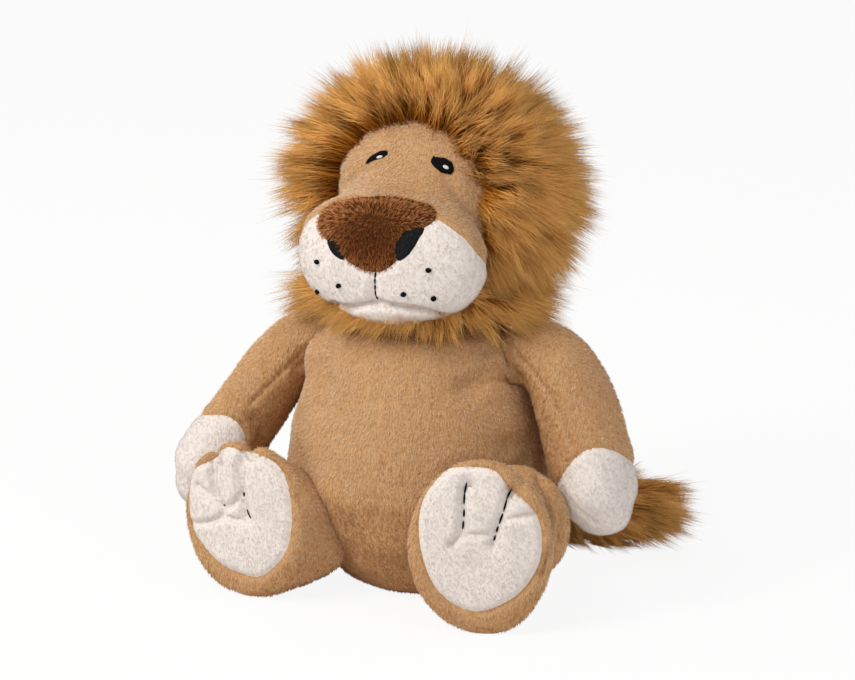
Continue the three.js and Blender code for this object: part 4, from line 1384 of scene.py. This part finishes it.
def makeArms():
    sx, sy, sz = arms["shoulder"]
    for name in ("left", "right"):
        values = arms[name]
        side = values["side"]
        points = [(side * (sx + out), sy + back, sz + up) for out, back, up in values["spots"]]
        body = tube("arm", points, values["radii"])
        start = ellipsoid(points[1], arms["start"])
        end = ellipsoid(points[-1], arms["end"])
        out, back, up = values["tip"]
        tip = ellipsoid(Vector(points[-1]) + Vector((side * out, back, up)), arms["tip"])
        parts = [body, start, end, tip]
        skin = stuffed("armSkin" + name.title(), parts, arms["voxel"], arms["smoothing"])
        lumps(skin, *arms["lumps"])
        stuffing(skin, arms["filling"], "arm_" + name, "arm_filling_" + name)
        folded(skin, values["folds"])
        lumps(skin, *arms["dimples"])
        spot, course = (Vector(vector) for vector in values["cap"])
        spot *= mm
        course.normalize()
        azimuth = math.radians(shot["azimuth"])
        breadth = Vector((math.cos(azimuth), math.sin(azimuth), 0))
        breadth = np.array((breadth - course * breadth.dot(course)).normalized())

        def beyondSeam(points):
            offset = points - np.array(spot)
            return offset @ np.array(course) - values["arc"] * mm * ((offset @ breadth) / (17 * mm)) ** 2

        places = vertexPlaces(skin)
        along = beyondSeam(places)
        width, depth = arms["seam"]
        places -= vertexNormals(skin) * (depth * mm * np.exp(-((along / (width * mm)) ** 2)))[:, None]
        setPlaces(skin, places)
        roots, upright, random = scattered(skin, arms["seed"] + side)
        along = beyondSeam(roots) / mm
        creamRoots = along > 0
        length = np.clip(np.abs(along) / 2.2, 0.75, 1)
        tanRoots = ~creamRoots
        # Painted shade: the pile on the side that faces in towards the torso and down is painted darker
        shade = np.clip(upright[tanRoots] @ np.array(values["under"]) * 4, 0, 1) * 0.22
        # Painted highlight: the pile along the seam ridge is painted lighter
        ridge = lineOn(skin, values["folds"][0][0])
        shade -= (1 - trimmed(roots[tanRoots], ridge, 1.3, 0)) * values["ridge"]
        sites = (roots, upright, length, random)
        piles = (("sleevePile", tanRoots, "arm", shade), ("pawPile", creamRoots, "cream", 0))
        covers = (("armSleeve", "arm_sleeve_"), ("pawCap", "paw_cap_"))
        covered(skin, "arm", name, sites, piles, covers, lambda points: (beyondSeam(points) > 0).astype(int))


makeArms()
print("arms made")


# Legs: short, flared to a broad upright foot whose cream sole is drawn in to make toes
legs = {
    "hip": (42, -22, 28),
    "halfWidth": 34,
    "stations": [
        (-0.3, 0.5, 0.4), (0, 0.6, 0.47), (0.12, 0.67, 0.54), (0.3, 0.81, 0.66), (0.48, 0.91, 0.79),
        (0.66, 0.98, 0.91), (0.82, 1.0, 1.0), (0.93, 0.97, 0.985), (0.985, 0.84, 0.88), (1.02, 0.5, 0.52),
    ],
    "left": {
        "side": 1,
        "sole": (58.5, -57, 42.5),
        "halfHeight": 43,
        "splay": 17,
        "thighs": [((65, -31, 47), (25.5, 15, 29), (0, 0, 17))],
        "folds": [
            ([(538, 478), (548, 498), (552, 522), (551, 548), (543, 574)], 2.5, 3.6),
            ([(556, 486), (562, 512), (560, 540)], 2.2, 2.6),
        ],
        "outline": [
            (-4.9, 82), (-14.6, 80.6), (-19.9, 75.8), (-25.8, 68.1), (-28.6, 60.5), (-29.4, 50.4),
            (-28.2, 40.5), (-24.9, 29.3), (-20.4, 21.3), (-12, 13.7), (-0.7, 10.8), (10, 15.7),
            (18.9, 21.8), (25.3, 31.6), (28.2, 39.9), (28.3, 51.7), (25.6, 60.9), (19, 68.1), (12.8, 70.9),
            (10.7, 75.8), (6.3, 81.5),
        ],
        "toes": [
            [(-3.7, 84.5), (-5.8, 77.6), (-7.8, 71.3), (-8.2, 65.1), (-7.8, 58.9), (-8.6, 51)],
            [(16.5, 74), (12.5, 70.9), (11.1, 63.4), (9.1, 57.1), (7.1, 51.4), (5.6, 45.1)],
        ],
        "threads": [
            [(0.14, 0.62), (0.66, 0.8), (0.84, 0.98)],
            [(0.1, 0.46), (0.5, 0.68), (0.73, 0.84), (0.89, 0.97)],
        ],
        "creases": [
            [(-8, 50.1), (-0.9, 49.5), (6.8, 51.1)],
            [(10.9, 57.5), (17.3, 59.3), (25, 60.9)],
            [(-8.6, 51), (-13.9, 44.2)],
        ],
    },
    "right": {
        "side": -1,
        "sole": (-67, -57, 39),
        "halfHeight": 39.5,
        "splay": 5,
        "thighs": [],
        "folds": [
            ([(332, 520), (346, 545), (352, 566)], 4, 1.6),
            ([(262, 452), (285, 470), (299, 500)], 3, 1),
        ],
        "outline": [
            (-5.4, 75.2), (2.1, 72.5), (8.8, 73), (16.5, 71), (22.8, 65), (26.6, 58), (28.2, 49.5),
            (28.2, 38.8), (25.3, 26.6), (17.7, 17), (10.8, 11.4), (1.7, 11.4), (-9.6, 13.5), (-17.9, 18.9),
            (-24.7, 25.2), (-28.8, 31.4), (-30.4, 40.6), (-30.4, 52.9), (-26.9, 61), (-14.6, 66.7),
            (-12.3, 71.5),
        ],
        "toes": [
            [(-13.8, 70), (-15.5, 62.2), (-14.5, 54.3), (-12.4, 47.5), (-9, 44.3)],
            [(4.3, 76), (0.1, 68.1), (-0.4, 62), (2.1, 53.7), (1.3, 51.5), (3.8, 42.4), (5.3, 40.7)],
        ],
        "threads": [[(0.93, 1.0)], [(0.55, 0.63), (0.86, 1.0)]],
        "creases": [
            [(-9, 44.3), (-8.7, 40.3), (-14.5, 36.6), (-22.2, 33.9), (-28.8, 32.4)],
            [(-8.7, 40.3), (-3.8, 38.8), (3.8, 40.4)],
            [(1.7, 52.9), (-2.1, 48.2), (-6, 44.8)],
            [(-24.1, 52.7), (-18.8, 50.2), (-12.7, 47.4)],
        ],
    },
    "start": (19.5, 19.5, 19.5),
    "voxel": 1.3,
    "smoothing": 8,
    "filling": 7,
    "lumps": (22, 1.8),
    "dimples": (2.8, 0.14),
    "toeGroove": (2.6, 3.2),
    "toeNotch": (3.3, 5.5),
    "creaseGroove": (1.7, 2.4),
    "seamGroove": (1.5, 1.7),
    "soleDepth": 14,
    "seed": 51,
}


def makeLegs():
    for name in ("left", "right"):
        values = legs[name]
        side = values["side"]
        splay = math.radians(values["splay"])
        facing = Vector((side * math.sin(splay), -math.cos(splay), 0))
        across = Vector((-facing.y, facing.x, 0))
        hip = Vector((side * legs["hip"][0], legs["hip"][1], legs["hip"][2]))
        sole = Vector(values["sole"])
        length = (sole - hip).dot(facing)
        shift = sole - hip - facing * length
        sections = []
        for along, wide, tall in legs["stations"]:
            part = min(max(along, 0), 1)
            part = part * part * (3 - 2 * part)
            offset = shift * part
            sections.append((
                (offset.dot(across), offset.z, along * length),
                wide * legs["halfWidth"],
                tall * values["halfHeight"],
            ))
        limb = loft("leg", sections)
        turn = Matrix((across, (0, 0, 1), facing)).transposed().to_4x4()
        turn.translation = hip * mm
        limb.data.transform(turn)
        facedOutward(limb)
        parts = [limb, ellipsoid(hip, legs["start"])]
        parts += [ellipsoid(*thigh) for thigh in values["thighs"]]
        skin = stuffed("legSkin" + name.title(), parts, legs["voxel"], legs["smoothing"])
        lumps(skin, *legs["lumps"])
        stuffing(skin, legs["filling"], "leg_" + name, "leg_filling_" + name)

        tree = treeOf(skin)

        def onSole(spots, lift=0.0):
            line = []
            for a, height in spots:
                spot = (Vector((sole.x, sole.y, 0)) + across * a + facing * 40) * mm
                spot.z = height * mm
                hit, normal, _, _ = tree.ray_cast(spot, -facing)
                if hit:
                    line.append(hit + normal * lift * mm)
            return line

        outline = rounded(values["outline"])
        seam = resampled(onSole(outline), 1 * mm, closed=True)
        for toe in values["toes"]:
            line = resampled(smoothChain(onSole(toe)), 1 * mm)
            groove(skin, line, *legs["toeGroove"], -facing)
            # The stitch also pulls in the edge of the foot behind the toe line
            behind = [line[0] - facing * step * mm for step in range(-2, 18, 2)]
            inward = sole * mm - line[0]
            inward = (inward - facing * inward.dot(facing)).normalized()
            groove(skin, ontoSkin(skin, behind), *legs["toeNotch"], inward)
        for crease in values["creases"]:
            line = resampled(smoothChain(onSole(crease)), 1 * mm)
            groove(skin, line, *legs["creaseGroove"], -facing)
        groove(skin, ontoSkin(skin, seam), *legs["seamGroove"], -facing)
        folded(skin, values["folds"])
        lumps(skin, *legs["dimples"])
        settled(skin)
        tree = treeOf(skin)

        def labelled(places):
            offset = places / mm - np.array((sole.x, sole.y, 0))
            a = offset @ np.array(across)
            front = offset @ np.array(facing) > -legs["soleDepth"]
            return (inside(outline, a, offset[:, 2]) & front).astype(int)

        roots, upright, random = scattered(skin, legs["seed"] + side)
        label = labelled(roots)
        threads = []
        bare = np.zeros(len(roots), dtype=bool)
        for number, (toe, spans) in enumerate(zip(values["toes"], values["threads"])):
            track = resampled(smoothChain(onSole(toe, 0.25)), 0.5 * mm)
            parts = []
            for low, high in spans:
                start, end = int(low * len(track)), int(high * len(track))
                part = track[start: max(end, start + 6)]
                parts.append(stitches("thread", part, 0.48, 6, 0.5))
                tracks = pointTree(part)
                bare |= np.array([tracks.find(root)[2] < 0.9 * mm for root in roots])
            threads.append(joined(f"toeStitch{name.title()}{number + 1}", parts))
        sites = (roots, upright, trimmed(roots, seam), random)
        piles = (("legPile", label == 0, "leg", 0), ("solePile", (label == 1) & ~bare, "cream", 0))
        covered(skin, "leg", name, sites, piles, (("legSleeve", "leg_sleeve_"), ("sole", "sole_")), labelled)
        for number, thread in enumerate(threads):
            dressed(thread, "leg_" + name, "black_thread", blackThread, f"toe_stitch_{name}_{number + 1}")


makeLegs()
print("legs made")


# The tail and its tuft
tail = {
    "points": [
        (0, 50, 23), (0, 56, 22), (15.6, 68.9, 15.4), (37.4, 84.9, 11.3), (54.6, 90, 14.7), (82, 90, 20.5),
    ],
    "radii": (8.5, 8.5, 7.4, 7, 7, 6),
    "root": (8.8, 8.8, 8.8),
    "comb": (1, 0.3, -0.4),
    "voxel": 1.2,
    "smoothing": 6,
    "seed": 61,
    "tuft": {
        "start": 36,
        "end": 84,
        "back": 90,
        "fibres": 17000,
        "locks": 420,
        "width": 0.32,
        "reach": (24, 34),
        "seed": 71,
    },
}


def makeTail():
    cord = tube("tailTube", tail["points"], tail["radii"])
    root = ellipsoid(tail["points"][1], tail["root"])
    skin = stuffed("tailCover", [cord, root], tail["voxel"], tail["smoothing"])
    tanCovered(skin, "tail", "tailPile", tail["seed"], ["tail_cover"], tail["comb"])

    tuft = tail["tuft"]
    count = tuft["locks"]
    random = np.random.default_rng(tuft["seed"])
    along = random.random(count) ** 0.8
    angle = random.random(count) * 2 * math.pi
    x = tuft["start"] + (tuft["end"] - tuft["start"]) * along
    lift = 12.5 + (x - 37) / 45 * 11
    ring = np.stack([np.zeros(count), np.cos(angle), np.sin(angle)], axis=1)
    base = np.stack([x, np.full(count, float(tuft["back"])), lift], axis=1)
    outward = np.where(along > 0.55, random.random(count) ** 0.6, 1)
    centres = base + ring * (5 * outward)[:, None]
    forward = np.array((1, 0, 0))
    lean = 0.62 + 0.5 * along
    courses = unit(forward * lean[:, None] + ring * ((1.15 - 0.75 * along) * outward)[:, None])
    reach = random.uniform(*tuft["reach"], count)
    tips = centres + courses * reach[:, None] + np.array((0, 0, -1.5))
    each = tuft["fibres"] // count
    lock = np.repeat(np.arange(count), each)
    total = len(lock)
    starts = centres[lock] + random.normal(size=(total, 3)) * 1.5
    shift = random.normal(size=(total, 3))
    ends = tips[lock] + shift * np.where(random.random(total) < 0.2, 3.5, 1.3)[:, None]
    ends = starts + (ends - starts) * random.uniform(0.6, 1.05, total)[:, None]
    curl = random.normal(size=(count, 3))[lock] * 1.3 + random.normal(size=(total, 3)) * 0.4
    knots = []
    for t in mane["knots"]:
        arch = 4 * t * (1 - t)
        knots.append(starts + (ends - starts) * t + (ring[lock] * 2.2 + curl) * arch)
    lines = np.stack(knots, axis=1)
    lines[..., 1] = tuft["back"] + (lines[..., 1] - tuft["back"]) * 0.85
    lines[..., 2] = np.maximum(lines[..., 2], 0.6)
    radii = np.outer(random.uniform(0.75, 1.25, total), (1.0, 0.85)) * tuft["width"] / 2
    tones = np.clip(random.random(count)[lock] * 0.6 + random.random(total) * 0.4, 0, 0.999)
    fibres = strandMesh("tuftFibres", lines * mm, radii * mm, tones)
    dressed(fibres, "tail", "mane_fur", maneFibre, "tail_tuft")


makeTail()
print("tail made")

pouch = frame["nodes"]["pellet_pouch"]
pouch.data.materials.clear()
pouch.data.materials.append(pelletCloth)
